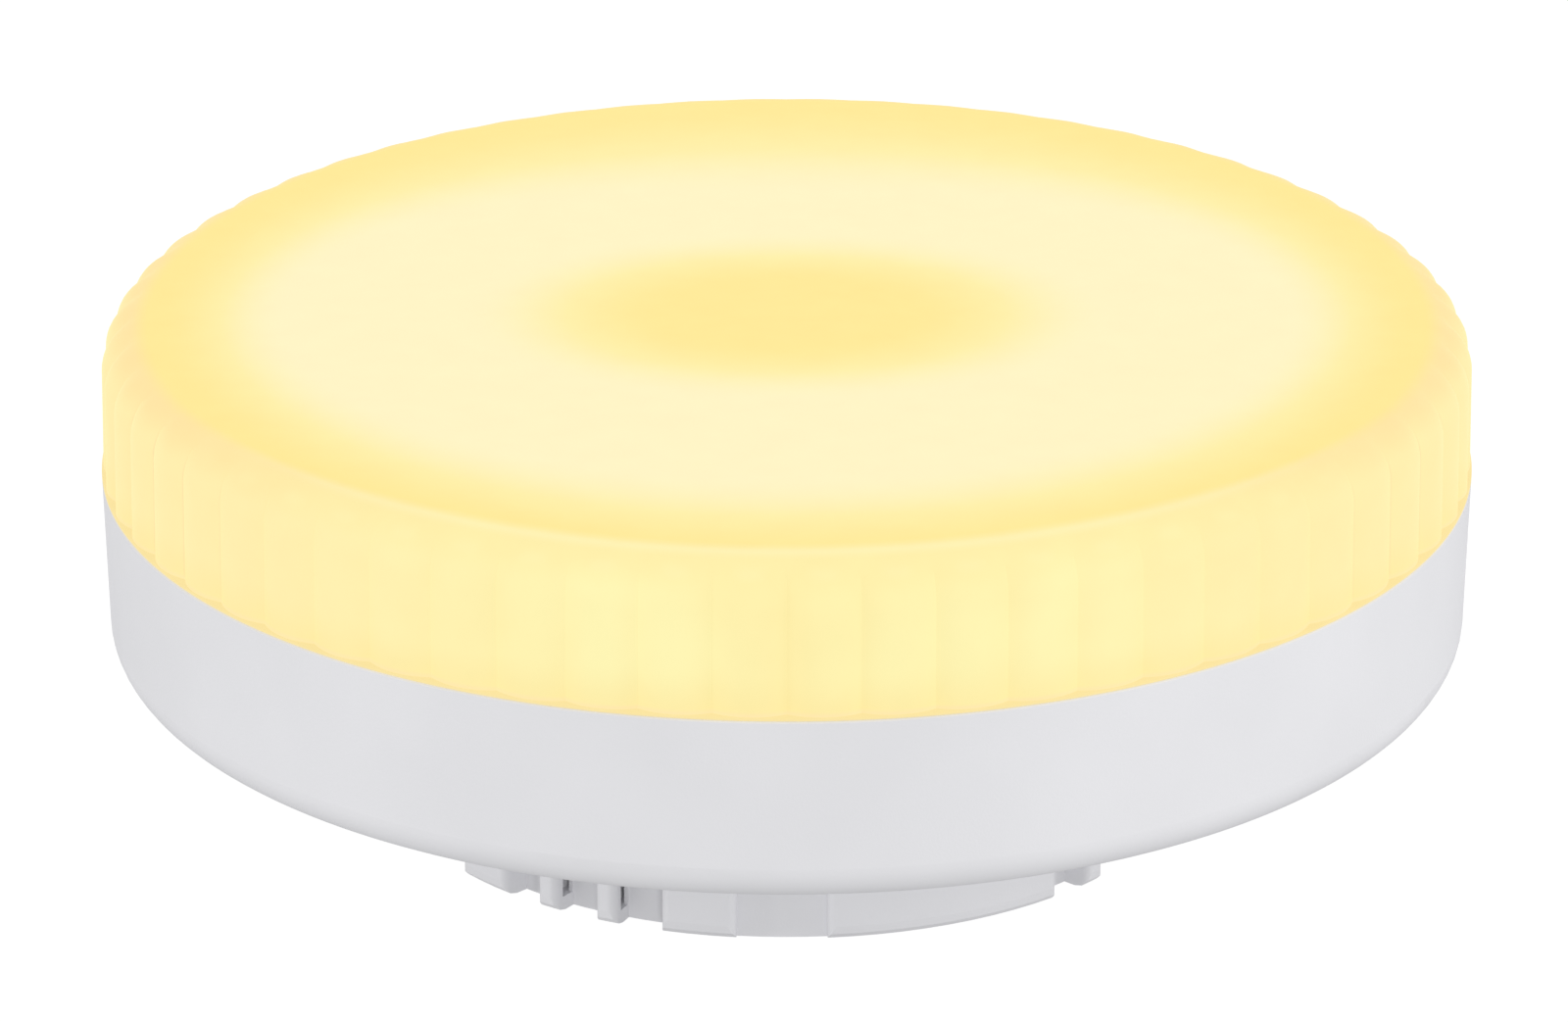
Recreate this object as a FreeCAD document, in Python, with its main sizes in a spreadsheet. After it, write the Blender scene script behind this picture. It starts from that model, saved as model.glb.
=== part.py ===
"""Twist-fit LED disc lamp with an opal fluted cover, a tapered moulded base and a two-pin cap.

Frame: origin at the centre of the hub's flat end, +Z towards the light. The two contact pins
stand on the X axis, and the side of the base that carries the two louvres faces -Y.
An azimuth is an angle about Z, counted from -Y towards +X. All lengths are in millimetres.
"""
import FreeCAD, Part
import math
import os
import re
import Sketcher

os.makedirs("parts", exist_ok=True)
doc = FreeCAD.newDocument("led_disc_lamp")
UP = FreeCAD.Vector(0, 0, 1)
BACK = 180.0  # azimuth of the +Y side

# Driving sizes. Each row is a name, its number and what it measures.
SIZES = [
    ("body_diameter", 75.0, "base and cover flange at their joint"),
    ("base_rise", 10.6, "underside of the base to the joint with the cover"),
    ("base_draft", 0.35, "radius that the base wall loses on its way down"),
    ("base_edge_round", 2.2, "rounding between the base wall and the underside"),
    ("base_wall", 1.6, "base wall"),
    ("base_floor", 1.8, "base floor beside the hub"),
    ("hub_depth", 8.8, "hub below the underside of the base"),
    ("hub_diameter", 41.0, "hub between its lugs"),
    ("hub_wall", 1.5, "hub wall"),
    ("hub_floor", 1.4, "closed end of the hub"),
    ("lug_reach", 1.75, "lugs and louvres outside the hub wall"),
    ("lug_edge_round", 0.5, "upright edges of lugs and louvres"),
    ("lug_bevel_depth", 1.0, "rounded bevel under the lugs, measured inwards"),
    ("lug_bevel_rise", 0.95, "rounded bevel under the lugs, measured upwards"),
    ("key_reach", 0.8, "shallow band between the narrow and the wide lug"),
    ("key_overlap", 1.0, "ends of the shallow band inside its two lugs, as an angle"),
    ("tail_lug_start", -52.6, "azimuth where the tail lug starts"),
    ("tail_lug_end", -43.4, "azimuth where the tail lug ends"),
    ("narrow_lug_start", -17.8, "azimuth where the narrow lug starts"),
    ("narrow_lug_end", -7.2, "azimuth where the narrow lug ends"),
    ("wide_lug_start", 5.8, "azimuth where the wide lug starts"),
    ("wide_lug_end", 41.2, "azimuth where the wide lug ends"),
    ("stop_lug_start", 47.3, "azimuth where the stop lug starts"),
    ("stop_lug_end", 50.7, "azimuth where the stop lug ends"),
    ("first_louvre_end", -34.15, "azimuth of the open side of the first louvre"),
    ("second_louvre_end", -24.5, "azimuth of the open side of the second louvre"),
    ("louvre_width", 3.25, "louvre, as an angle"),
    ("louvre_cheek", 1.3, "closed side of a louvre, as an angle"),
    ("louvre_hood", 0.75, "outer wall of a louvre"),
    ("louvre_sill", 0.8, "lower end of a vent slot above the hub's end"),
    ("louvre_head", 0.9, "upper end of a vent slot below the base"),
    ("cover_rise", 8.3, "joint to the top of the cover"),
    ("cover_flange", 0.4, "thickness of the thin flange at the joint"),
    ("cover_setback", 0.2, "cover wall inside the flange"),
    ("cover_draft", 0.05, "radius that the cover wall loses on its way up"),
    ("cover_edge_round", 2.9, "rounding at the top edge of the cover"),
    ("cover_wall", 1.5, "cover wall behind the flutes' crests"),
    ("cover_top", 1.6, "cover face"),
    ("flute_count", 58, "flutes round the cover"),
    ("flute_depth", 0.42, "valley between two flutes below their crests"),
    ("flute_crest_trim", 0.05, "crest of a flute's arc that the wall takes off"),
    ("flute_bend", 5.0, "bend of a valley over the rounded edge of the cover"),
    ("flute_bend_drop", 3.5, "start of that bend below the top of the cover"),
    ("flute_sweep", 78.0, "turn of that bend, as an angle"),
    ("joint_edge_bevel", 0.12, "outer edges of base and flange at their joint"),
    ("spigot_length", 2.4, "cover spigot below the joint"),
    ("spigot_wall", 1.2, "cover spigot"),
    ("spigot_clearance", 0.1, "gap between spigot and base wall"),
    ("snap_bead", 0.3, "snap bead round the spigot"),
    ("pin_pitch", 53.0, "contact pins, centre to centre"),
    ("pin_projection", 5.6, "contact pin below the underside of the base"),
    ("pin_head_diameter", 5.0, "head of a contact pin"),
    ("pin_head_rise", 2.0, "head of a contact pin"),
    ("pin_neck_diameter", 3.2, "neck of a contact pin"),
    ("pin_collar_diameter", 5.4, "collar of a contact pin against the base"),
    ("pin_collar_rise", 0.7, "collar of a contact pin"),
    ("pin_shank_diameter", 2.5, "shank of a contact pin in the base floor"),
    ("pin_upset_diameter", 3.8, "end of a pin, upset over its boss"),
    ("pin_upset_rise", 0.8, "end of a pin, upset over its boss"),
    ("pin_boss_diameter", 7.0, "boss round a pin inside the base"),
    ("pin_boss_rise", 0.9, "boss round a pin inside the base"),
    ("fit_clearance", 0.05, "pin and screw shanks in their holes, on the radius"),
    ("screw_count", 3, "board screws"),
    ("screw_inset", 4.0, "board screws inside the edge of the led board"),
    ("screw_boss_diameter", 6.0, "screw boss"),
    ("screw_boss_rise", 4.7, "screw boss above the base floor"),
    ("screw_diameter", 2.5, "screw shank"),
    ("screw_length", 6.0, "screw shank below its head"),
    ("screw_head_diameter", 4.6, "screw head"),
    ("screw_head_rise", 1.5, "screw head"),
    ("spreader_thickness", 1.2, "aluminium heat spreader"),
    ("spreader_rim", 3.0, "turned-down rim of the heat spreader"),
    ("spreader_clearance", 0.15, "gap between heat spreader and base wall"),
    ("wire_hole_diameter", 6.4, "hole for the leads in spreader and led board"),
    ("led_board_clearance", 1.6, "gap between led board and cover spigot"),
    ("led_board_thickness", 1.0, "led board"),
    ("led_count", 14, "led packages"),
    ("led_inset", 11.5, "middle of the led packages inside the edge of the led board"),
    ("led_length", 3.5, "led package, round the circle"),
    ("led_width", 2.8, "led package, across the circle"),
    ("led_rise", 0.7, "led package"),
    ("led_rim", 0.4, "frame of an led package round its phosphor"),
    ("phosphor_depth", 0.4, "phosphor fill of an led package"),
    ("post_count", 3, "posts under the driver board"),
    ("post_diameter", 3.0, "posts under the driver board"),
    ("post_inset", 2.8, "posts inside the edge of the driver board"),
    ("post_rise", 2.2, "posts above the hub floor"),
    ("driver_board_clearance", 1.2, "gap between driver board and hub wall"),
    ("driver_board_thickness", 1.6, "driver board"),
    ("input_can_diameter", 8.0, "input capacitor"),
    ("input_can_length", 12.0, "input capacitor"),
    ("output_can_diameter", 6.3, "output capacitor"),
    ("output_can_length", 9.0, "output capacitor"),
    ("core_diameter", 8.0, "inductor core flanges"),
    ("core_rise", 8.0, "inductor core"),
    ("core_flange", 1.0, "inductor core flange"),
    ("core_neck_diameter", 4.0, "inductor core between its flanges"),
    ("winding_diameter", 7.2, "inductor winding"),
    ("film_length", 10.0, "suppression capacitor"),
    ("film_width", 4.0, "suppression capacitor"),
    ("film_rise", 8.0, "suppression capacitor"),
    ("bridge_length", 4.8, "bridge rectifier"),
    ("bridge_width", 3.8, "bridge rectifier"),
    ("bridge_rise", 2.4, "bridge rectifier"),
    ("chip_length", 4.9, "driver chip"),
    ("chip_width", 3.9, "driver chip"),
    ("chip_rise", 1.6, "driver chip"),
    ("resistor_diameter", 3.0, "fusible resistor"),
    ("resistor_length", 8.0, "fusible resistor"),
    ("varistor_diameter", 7.0, "surge varistor"),
    ("varistor_thickness", 3.4, "surge varistor"),
    ("chip_resistor_length", 2.0, "chip resistor"),
    ("chip_resistor_width", 1.25, "chip resistor"),
    ("chip_resistor_rise", 0.5, "chip resistor"),
    ("chip_resistor_count", 4, "chip resistors in their row"),
    ("chip_resistor_step", 2.5, "chip resistors, one to the next"),
    ("lead_diameter", 1.2, "insulated leads"),
    ("part_gap", 0.6, "gap between neighbours on the driver board"),
    ("led_lead_row", 1.7, "led leads on the driver board, behind its centre"),
    ("led_lead_spread", 1.6, "led leads, each side of the middle"),
    ("pad_row", 6.2, "solder pads of the led leads, in front of the centre"),
    ("coil_row", 4.9, "inductor and output capacitor, in front of the centre"),
    ("film_row", 8.6, "suppression capacitor, in front of the centre"),
    ("chip_row", 2.4, "driver chip, in front of the centre"),
    ("bridge_row", 4.4, "bridge rectifier, behind the centre"),
]

# Levels and radii worked out from the driving sizes.
LEVELS = [
    ("underside", "hub_depth"),
    ("joint_level", "hub_depth + base_rise"),
    ("cover_top_level", "joint_level + cover_rise"),
    ("base_floor_level", "underside + base_floor"),
    ("body_radius", "body_diameter / 2"),
    ("base_inner_radius", "body_radius - base_wall"),
    ("hub_radius", "hub_diameter / 2"),
    ("hub_inner_radius", "hub_radius - hub_wall"),
    ("lug_radius", "hub_radius + lug_reach"),
    ("crest_radius", "body_radius - cover_setback"),
    ("arc_crest_radius", "crest_radius + flute_crest_trim"),
    ("valley_radius", "crest_radius - flute_depth"),
    ("flute_half_angle", "180 / flute_count"),
    ("flute_bend_level", "cover_top_level - flute_bend_drop"),
    ("flute_bend_centre", "valley_radius - flute_bend"),
    ("spigot_radius", "base_inner_radius - spigot_clearance"),
    ("spigot_level", "joint_level - spigot_length"),
    ("bead_level", "spigot_level + 1.5 * snap_bead"),
    ("pin_radius", "pin_pitch / 2"),
    ("pin_boss_level", "base_floor_level + pin_boss_rise"),
    ("pin_top_level", "pin_boss_level + pin_upset_rise"),
    ("spreader_seat", "base_floor_level + screw_boss_rise"),
    ("spreader_radius", "base_inner_radius - spreader_clearance"),
    ("spreader_bend", "0.8 * spreader_thickness"),
    ("led_board_seat", "spreader_seat + spreader_thickness"),
    ("led_board_face", "led_board_seat + led_board_thickness"),
    ("led_board_radius", "spigot_radius - spigot_wall - led_board_clearance"),
    ("screw_radius", "led_board_radius - screw_inset"),
    ("led_radius", "led_board_radius - led_inset"),
    ("post_level", "hub_floor + post_rise"),
    ("driver_face", "post_level + driver_board_thickness"),
    ("driver_board_radius", "hub_inner_radius - driver_board_clearance"),
    ("post_radius", "driver_board_radius - post_inset"),
    ("input_can_row", "led_lead_row + lead_diameter / 2 + part_gap + input_can_diameter / 2"),
    ("bridge_column", "input_can_length / 2 + part_gap + bridge_width / 2"),
    ("resistor_column", "input_can_length / 2 + part_gap + resistor_diameter / 2"),
    ("resistor_row", "bridge_row + bridge_length / 2 + part_gap + resistor_diameter / 2"),
    ("varistor_column", "input_can_length / 2 + part_gap + varistor_thickness / 2"),
    ("core_column", "film_length / 2 + part_gap + core_diameter / 2"),
    ("output_can_column", "film_length / 2 + part_gap + output_can_diameter / 2"),
    ("varistor_row", "core_diameter / 2 - coil_row + part_gap + varistor_diameter / 2"),
    ("small_row", "film_row + film_width / 2 + part_gap + chip_resistor_length / 2"),
]

pieces = []


def fill_sheet(name, rows):
    """Writes one sheet: a name, a value with that name as its alias, and a note."""
    made = doc.addObject("Spreadsheet::Sheet", name)
    for row, (alias, content, note) in enumerate(rows, start=1):
        made.set(f"A{row}", alias)
        made.set(f"B{row}", content)
        made.set(f"C{row}", note)
        made.setAlias(f"B{row}", alias)
    doc.recompute()
    return made


def bind(formula):
    """Turns the plain names in a formula into cells of the two sheets."""
    def cell(found):
        word = found.group(0)
        if word in size_names:
            return "sizes." + word
        if word in level_names:
            return "levels." + word
        return word
    return re.sub(r"[a-z][a-z_]*[a-z]", cell, str(formula))


size_names = {name for name, number, note in SIZES}
level_names = {name for name, formula in LEVELS}
sizes = fill_sheet("sizes", [(name, str(number), note) for name, number, note in SIZES])
levels = fill_sheet("levels", [(name, "=" + bind(formula).replace("levels.", ""), formula)
                               for name, formula in LEVELS])


def value(formula):
    """The number that a formula gives now."""
    return float(sizes.evalExpression(bind(formula)))


def place(piece, x="0", y="0", z="0"):
    """Ties a piece's position to formulas."""
    piece.setExpression("Placement.Base.x", bind(x))
    piece.setExpression("Placement.Base.y", bind(y))
    piece.setExpression("Placement.Base.z", bind(z))


def name_piece(piece, label):
    """Gives a finished piece its name and puts it on the list of pieces."""
    piece.Label = label
    pieces.append(piece)
    return piece


def origin_plane(body, role):
    """The body's own origin plane of that role."""
    return next(feature for feature in body.Origin.OriginFeatures if feature.Role == role)


def new_sketch(body, name, role="XY_Plane", level=None):
    """A sketch on one of the body's origin planes, raised to a level where one is given."""
    sketch = body.newObject("Sketcher::SketchObject", name)
    sketch.AttachmentSupport = [(origin_plane(body, role), "")]
    sketch.MapMode = "FlatFace"
    if level is not None:
        sketch.setExpression("AttachmentOffset.Base.z", bind(level))
    return sketch


def tie(sketch, kind, references, formula, name):
    """Adds a named dimension whose value follows a formula."""
    number = value(formula)
    if kind == "Angle":
        number = math.radians(number)
    index = sketch.addConstraint(Sketcher.Constraint(kind, *references, number))
    sketch.renameConstraint(index, name)
    sketch.setExpression("Constraints." + name, bind(formula))


def tie_point(sketch, line, end, corner, name):
    """Holds one end of a line at a corner given by two formulas."""
    across, along = corner
    if across == "0":
        sketch.addConstraint(Sketcher.Constraint("PointOnObject", line, end, -2))
    else:
        tie(sketch, "DistanceX", (-1, 1, line, end), across, name + "_across")
    if along == "0":
        sketch.addConstraint(Sketcher.Constraint("PointOnObject", line, end, -1))
    else:
        tie(sketch, "DistanceY", (-1, 1, line, end), along, name + "_along")


def draw_outline(sketch, corners):
    """A closed outline of straight lines through corners that follow formulas."""
    spots = [FreeCAD.Vector(value(across), value(along), 0) for across, along in corners]
    lines = []
    for start, stop in zip(spots, spots[1:] + spots[:1]):
        lines.append(sketch.addGeometry(Part.LineSegment(start, stop), False))
    for line, following in zip(lines, lines[1:] + lines[:1]):
        sketch.addConstraint(Sketcher.Constraint("Coincident", line, 2, following, 1))
    for number, (line, corner) in enumerate(zip(lines, corners)):
        tie_point(sketch, line, 1, corner, f"corner{number}")


def draw_sector(sketch, inner, outer, start, end):
    """A piece of a ring between two radii and two azimuths that follow formulas."""
    first = math.radians(value(f"{start} - 90"))
    last = math.radians(value(f"{end} - 90"))
    rays = [FreeCAD.Vector(math.cos(angle), math.sin(angle), 0) for angle in (first, last)]
    centre = FreeCAD.Vector()
    arcs = []
    for number, radius in enumerate((inner, outer)):
        circle = Part.Circle(centre, UP, value(radius))
        arcs.append(sketch.addGeometry(Part.ArcOfCircle(circle, first, last), False))
        sketch.addConstraint(Sketcher.Constraint("Coincident", arcs[-1], 3, -1, 1))
        tie(sketch, "Radius", (arcs[-1],), radius, f"radius{number}")
    for number, (ray, azimuth) in enumerate(zip(rays, (start, end))):
        side = sketch.addGeometry(Part.LineSegment(ray * value(inner), ray * value(outer)), False)
        sketch.addConstraint(Sketcher.Constraint("Coincident", side, 1, arcs[0], number + 1))
        sketch.addConstraint(Sketcher.Constraint("Coincident", side, 2, arcs[1], number + 1))
        tie(sketch, "Angle", (side,), f"{azimuth} - 90", f"azimuth{number}")


def draw_circle(sketch, radius, across="0", along="0"):
    """A circle whose radius and centre follow formulas."""
    spot = FreeCAD.Vector(value(across), value(along), 0)
    circle = sketch.addGeometry(Part.Circle(spot, UP, value(radius)), False)
    tie(sketch, "Radius", (circle,), radius, "radius")
    tie_point(sketch, circle, 3, (across, along), "centre")


def revolve(body, name, corners, cut=False):
    """A profile in the XZ plane, turned round the body's axis, that adds or cuts material."""
    sketch = new_sketch(body, name + "_profile", "XZ_Plane")
    draw_outline(sketch, corners)
    feature = body.newObject("PartDesign::Groove" if cut else "PartDesign::Revolution", name)
    feature.Profile = sketch
    feature.ReferenceAxis = (sketch, ["V_Axis"])
    feature.Angle = 360
    doc.recompute()
    return feature


def raise_pad(body, sketch, name, length):
    """A pad of the sketch upwards."""
    feature = body.newObject("PartDesign::Pad", name)
    feature.Profile = sketch
    feature.setExpression("Length", bind(length))
    doc.recompute()
    return feature


def cut_pocket(body, sketch, name, length):
    """A pocket of the sketch upwards; it has to take material away."""
    before = body.Shape.Volume
    feature = body.newObject("PartDesign::Pocket", name)
    feature.Profile = sketch
    feature.Reversed = True
    feature.setExpression("Length", bind(length))
    doc.recompute()
    if body.Shape.Volume > before - 1e-6:
        raise RuntimeError(f"pocket {name} cuts nothing")
    return feature


def turn_copies(body, name, originals, count):
    """Copies of features, evenly spaced about the body's axis."""
    feature = body.newObject("PartDesign::PolarPattern", name)
    feature.Originals = originals
    feature.Axis = (originals[0].Profile[0], ["N_Axis"])
    feature.Angle = 360
    feature.setExpression("Occurrences", bind(count))
    body.Tip = feature
    doc.recompute()
    return feature


def round_edges(body, name, radius, wanted, kind="PartDesign::Fillet"):
    """Rounds or bevels the edges of the body's last feature for which wanted(edge) is true."""
    base = body.Tip
    found = [f"Edge{number}" for number, edge in enumerate(base.Shape.Edges, start=1)
             if wanted(edge)]
    if not found:
        raise RuntimeError(f"{name} finds no edge")
    feature = body.newObject(kind, name)
    feature.Base = (base, found)
    sized = "Radius" if kind.endswith("Fillet") else "Size"
    feature.setExpression(sized, bind(radius))
    doc.recompute()
    return feature


def on_circle(radius, level):
    """A test for full circles about Z of one radius at one level."""
    def wanted(edge):
        curve = edge.Curve
        if not isinstance(curve, Part.Circle) or abs(abs(curve.Axis.z) - 1) > 1e-6:
            return False
        middle = curve.Center
        if math.hypot(middle.x, middle.y) > 1e-6:
            return False
        return abs(curve.Radius - value(radius)) < 1e-4 and abs(middle.z - value(level)) < 1e-4
    return wanted


def upright_at(radius):
    """A test for straight edges along Z at one distance from the axis."""
    def wanted(edge):
        if not isinstance(edge.Curve, Part.Line) or abs(abs(edge.Curve.Direction.z) - 1) > 1e-6:
            return False
        spot = edge.Vertexes[0].Point
        return abs(math.hypot(spot.x, spot.y) - value(radius)) < 1e-4
    return wanted


# The base housing is one moulding: wall, floor, hub, lugs, louvres, bosses and posts.
def make_base_housing():
    body = doc.addObject("PartDesign::Body", "BaseHousing")
    revolve(body, "shell", [
        ("0", "0"),
        ("hub_radius", "0"),
        ("hub_radius", "underside"),
        ("body_radius - base_draft", "underside"),
        ("body_radius", "joint_level"),
        ("base_inner_radius", "joint_level"),
        ("base_inner_radius", "base_floor_level"),
        ("hub_inner_radius", "base_floor_level"),
        ("hub_inner_radius", "hub_floor"),
        ("0", "hub_floor"),
    ])
    round_edges(body, "underside_round", "base_edge_round",
                on_circle("body_radius - base_draft", "underside"))
    round_edges(body, "rim_bevel", "joint_edge_bevel", on_circle("body_radius", "joint_level"),
                "PartDesign::Chamfer")
    add_lugs(body)
    add_bosses(body)
    cut_snap_groove(body)
    return name_piece(body, "base_housing")


def add_lugs(body):
    """Lugs, key band and louvres stand round the hub, twice, half a turn apart."""
    root = "hub_radius - hub_wall / 2"
    height = "underside + base_floor / 2"
    raised = []
    for name, outer, start, end in (
        ("tail_lug", "lug_radius", "tail_lug_start", "tail_lug_end"),
        ("narrow_lug", "lug_radius", "narrow_lug_start", "narrow_lug_end"),
        ("wide_lug", "lug_radius", "wide_lug_start", "wide_lug_end"),
        ("stop_lug", "lug_radius", "stop_lug_start", "stop_lug_end"),
        ("first_louvre", "lug_radius", "first_louvre_end - louvre_width", "first_louvre_end"),
        ("second_louvre", "lug_radius", "second_louvre_end - louvre_width", "second_louvre_end"),
        ("key_band", "hub_radius + key_reach", "narrow_lug_end - key_overlap",
         "wide_lug_start + key_overlap"),
    ):
        sketch = new_sketch(body, name + "_outline")
        draw_sector(sketch, root, outer, start, end)
        raised.append(raise_pad(body, sketch, name, height))
    turn_copies(body, "lugs_opposite", raised, "2")
    round_edges(body, "lug_edges", "lug_edge_round", upright_at("lug_radius"))
    rounding = [(f"lug_radius - lug_bevel_depth * (1 - cos({turned} * 1 deg))",
                 f"lug_bevel_rise * (1 - sin({turned} * 1 deg))")
                for turned in (0, 30, 60, 90)]
    outside = "lug_radius + lug_bevel_depth"
    revolve(body, "lug_bevel", [(outside, "0"), (outside, "lug_bevel_rise")] + rounding,
            cut=True)
    slots = []
    for name, end in (("first_vent", "first_louvre_end"), ("second_vent", "second_louvre_end")):
        slots.append(cut_channel(body, name, end))
        slots.append(cut_mouth(body, name, end))
    turn_copies(body, "vents_opposite", slots, "2")


def cut_channel(body, name, end):
    """The way from the inside of the hub out into a louvre, between its two cheeks."""
    sketch = new_sketch(body, name + "_channel_outline", level="louvre_sill")
    draw_sector(sketch, "hub_inner_radius - louvre_sill / 2", "lug_radius - louvre_hood",
                f"{end} - louvre_width + louvre_cheek", f"{end} - louvre_cheek / 2")
    return cut_pocket(body, sketch, name + "_channel", "underside - louvre_sill - louvre_head")


def cut_mouth(body, name, end):
    """The open side of a louvre, just outside the hub wall."""
    sketch = new_sketch(body, name + "_mouth_outline", level="louvre_sill")
    draw_sector(sketch, "hub_radius + spigot_clearance", "lug_radius - louvre_hood",
                f"{end} - louvre_cheek", f"{end} + louvre_cheek")
    return cut_pocket(body, sketch, name + "_mouth", "underside - louvre_sill - louvre_head")


def add_bosses(body):
    """Pin bosses, screw bosses and the posts of the driver board, with their holes."""
    sketch = new_sketch(body, "pin_boss_outline", level="base_floor_level - base_floor / 2")
    draw_circle(sketch, "pin_boss_diameter / 2", "pin_radius")
    pin_boss = raise_pad(body, sketch, "pin_boss", "pin_boss_rise + base_floor / 2")
    turn_copies(body, "pin_bosses", [pin_boss], "2")
    sketch = new_sketch(body, "screw_boss_outline", level="base_floor_level - base_floor / 2")
    draw_circle(sketch, "screw_boss_diameter / 2", "0", "screw_radius")
    screw_boss = raise_pad(body, sketch, "screw_boss", "screw_boss_rise + base_floor / 2")
    turn_copies(body, "screw_bosses", [screw_boss], "screw_count")
    sketch = new_sketch(body, "post_outline", level="hub_floor / 2")
    draw_circle(sketch, "post_diameter / 2", "0", "post_radius")
    post = raise_pad(body, sketch, "post", "post_rise + hub_floor / 2")
    turn_copies(body, "posts", [post], "post_count")
    sketch = new_sketch(body, "pin_hole_outline", level="underside - base_floor")
    draw_circle(sketch, "pin_shank_diameter / 2 + fit_clearance", "pin_radius")
    hole = cut_pocket(body, sketch, "pin_hole", "pin_boss_level - underside + 2 * base_floor")
    turn_copies(body, "pin_holes", [hole], "2")
    sketch = new_sketch(body, "screw_hole_outline",
                        level="led_board_face - screw_length - fit_clearance")
    draw_circle(sketch, "screw_diameter / 2 + fit_clearance", "0", "screw_radius")
    hole = cut_pocket(body, sketch, "screw_hole", "screw_length")
    turn_copies(body, "screw_holes", [hole], "screw_count")


def cut_snap_groove(body):
    """The groove in the base wall that takes the cover's snap bead."""
    revolve(body, "snap_groove", [
        ("base_inner_radius - snap_bead", "bead_level - 2 * snap_bead"),
        ("base_inner_radius", "bead_level - 2 * snap_bead"),
        ("base_inner_radius + snap_bead", "bead_level - snap_bead / 2"),
        ("base_inner_radius + snap_bead", "bead_level + snap_bead / 2"),
        ("base_inner_radius", "bead_level + 2 * snap_bead"),
        ("base_inner_radius - snap_bead", "bead_level + 2 * snap_bead"),
    ], cut=True)


# The cover is one opal moulding: a flat face, a rounded edge, a fluted wall and a snap spigot.
def make_diffuser():
    body = doc.addObject("PartDesign::Body", "Diffuser")
    revolve(body, "cover_shell", [
        ("0", "cover_top_level"),
        ("crest_radius - cover_draft", "cover_top_level"),
        ("crest_radius", "joint_level + cover_flange"),
        ("body_radius", "joint_level + cover_flange"),
        ("body_radius", "joint_level"),
        ("spigot_radius", "joint_level"),
        ("spigot_radius", "bead_level + snap_bead"),
        ("spigot_radius + snap_bead", "bead_level"),
        ("spigot_radius", "bead_level - snap_bead"),
        ("spigot_radius", "spigot_level"),
        ("spigot_radius - spigot_wall", "spigot_level"),
        ("spigot_radius - spigot_wall", "joint_level + spigot_wall"),
        ("crest_radius - cover_wall", "joint_level + 2 * spigot_wall"),
        ("crest_radius - cover_wall", "cover_top_level - cover_top"),
        ("0", "cover_top_level - cover_top"),
    ])
    round_edges(body, "top_round", "cover_edge_round",
                on_circle("crest_radius - cover_draft", "cover_top_level"))
    round_edges(body, "inner_bevel", "cover_edge_round - cover_top",
                on_circle("crest_radius - cover_wall", "cover_top_level - cover_top"),
                "PartDesign::Chamfer")
    for name, level in (("flange_bevel_low", "joint_level"),
                        ("flange_bevel_high", "joint_level + cover_flange")):
        round_edges(body, name, "joint_edge_bevel", on_circle("body_radius", level),
                    "PartDesign::Chamfer")
    cut_flutes(body)
    return name_piece(body, "diffuser")


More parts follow.
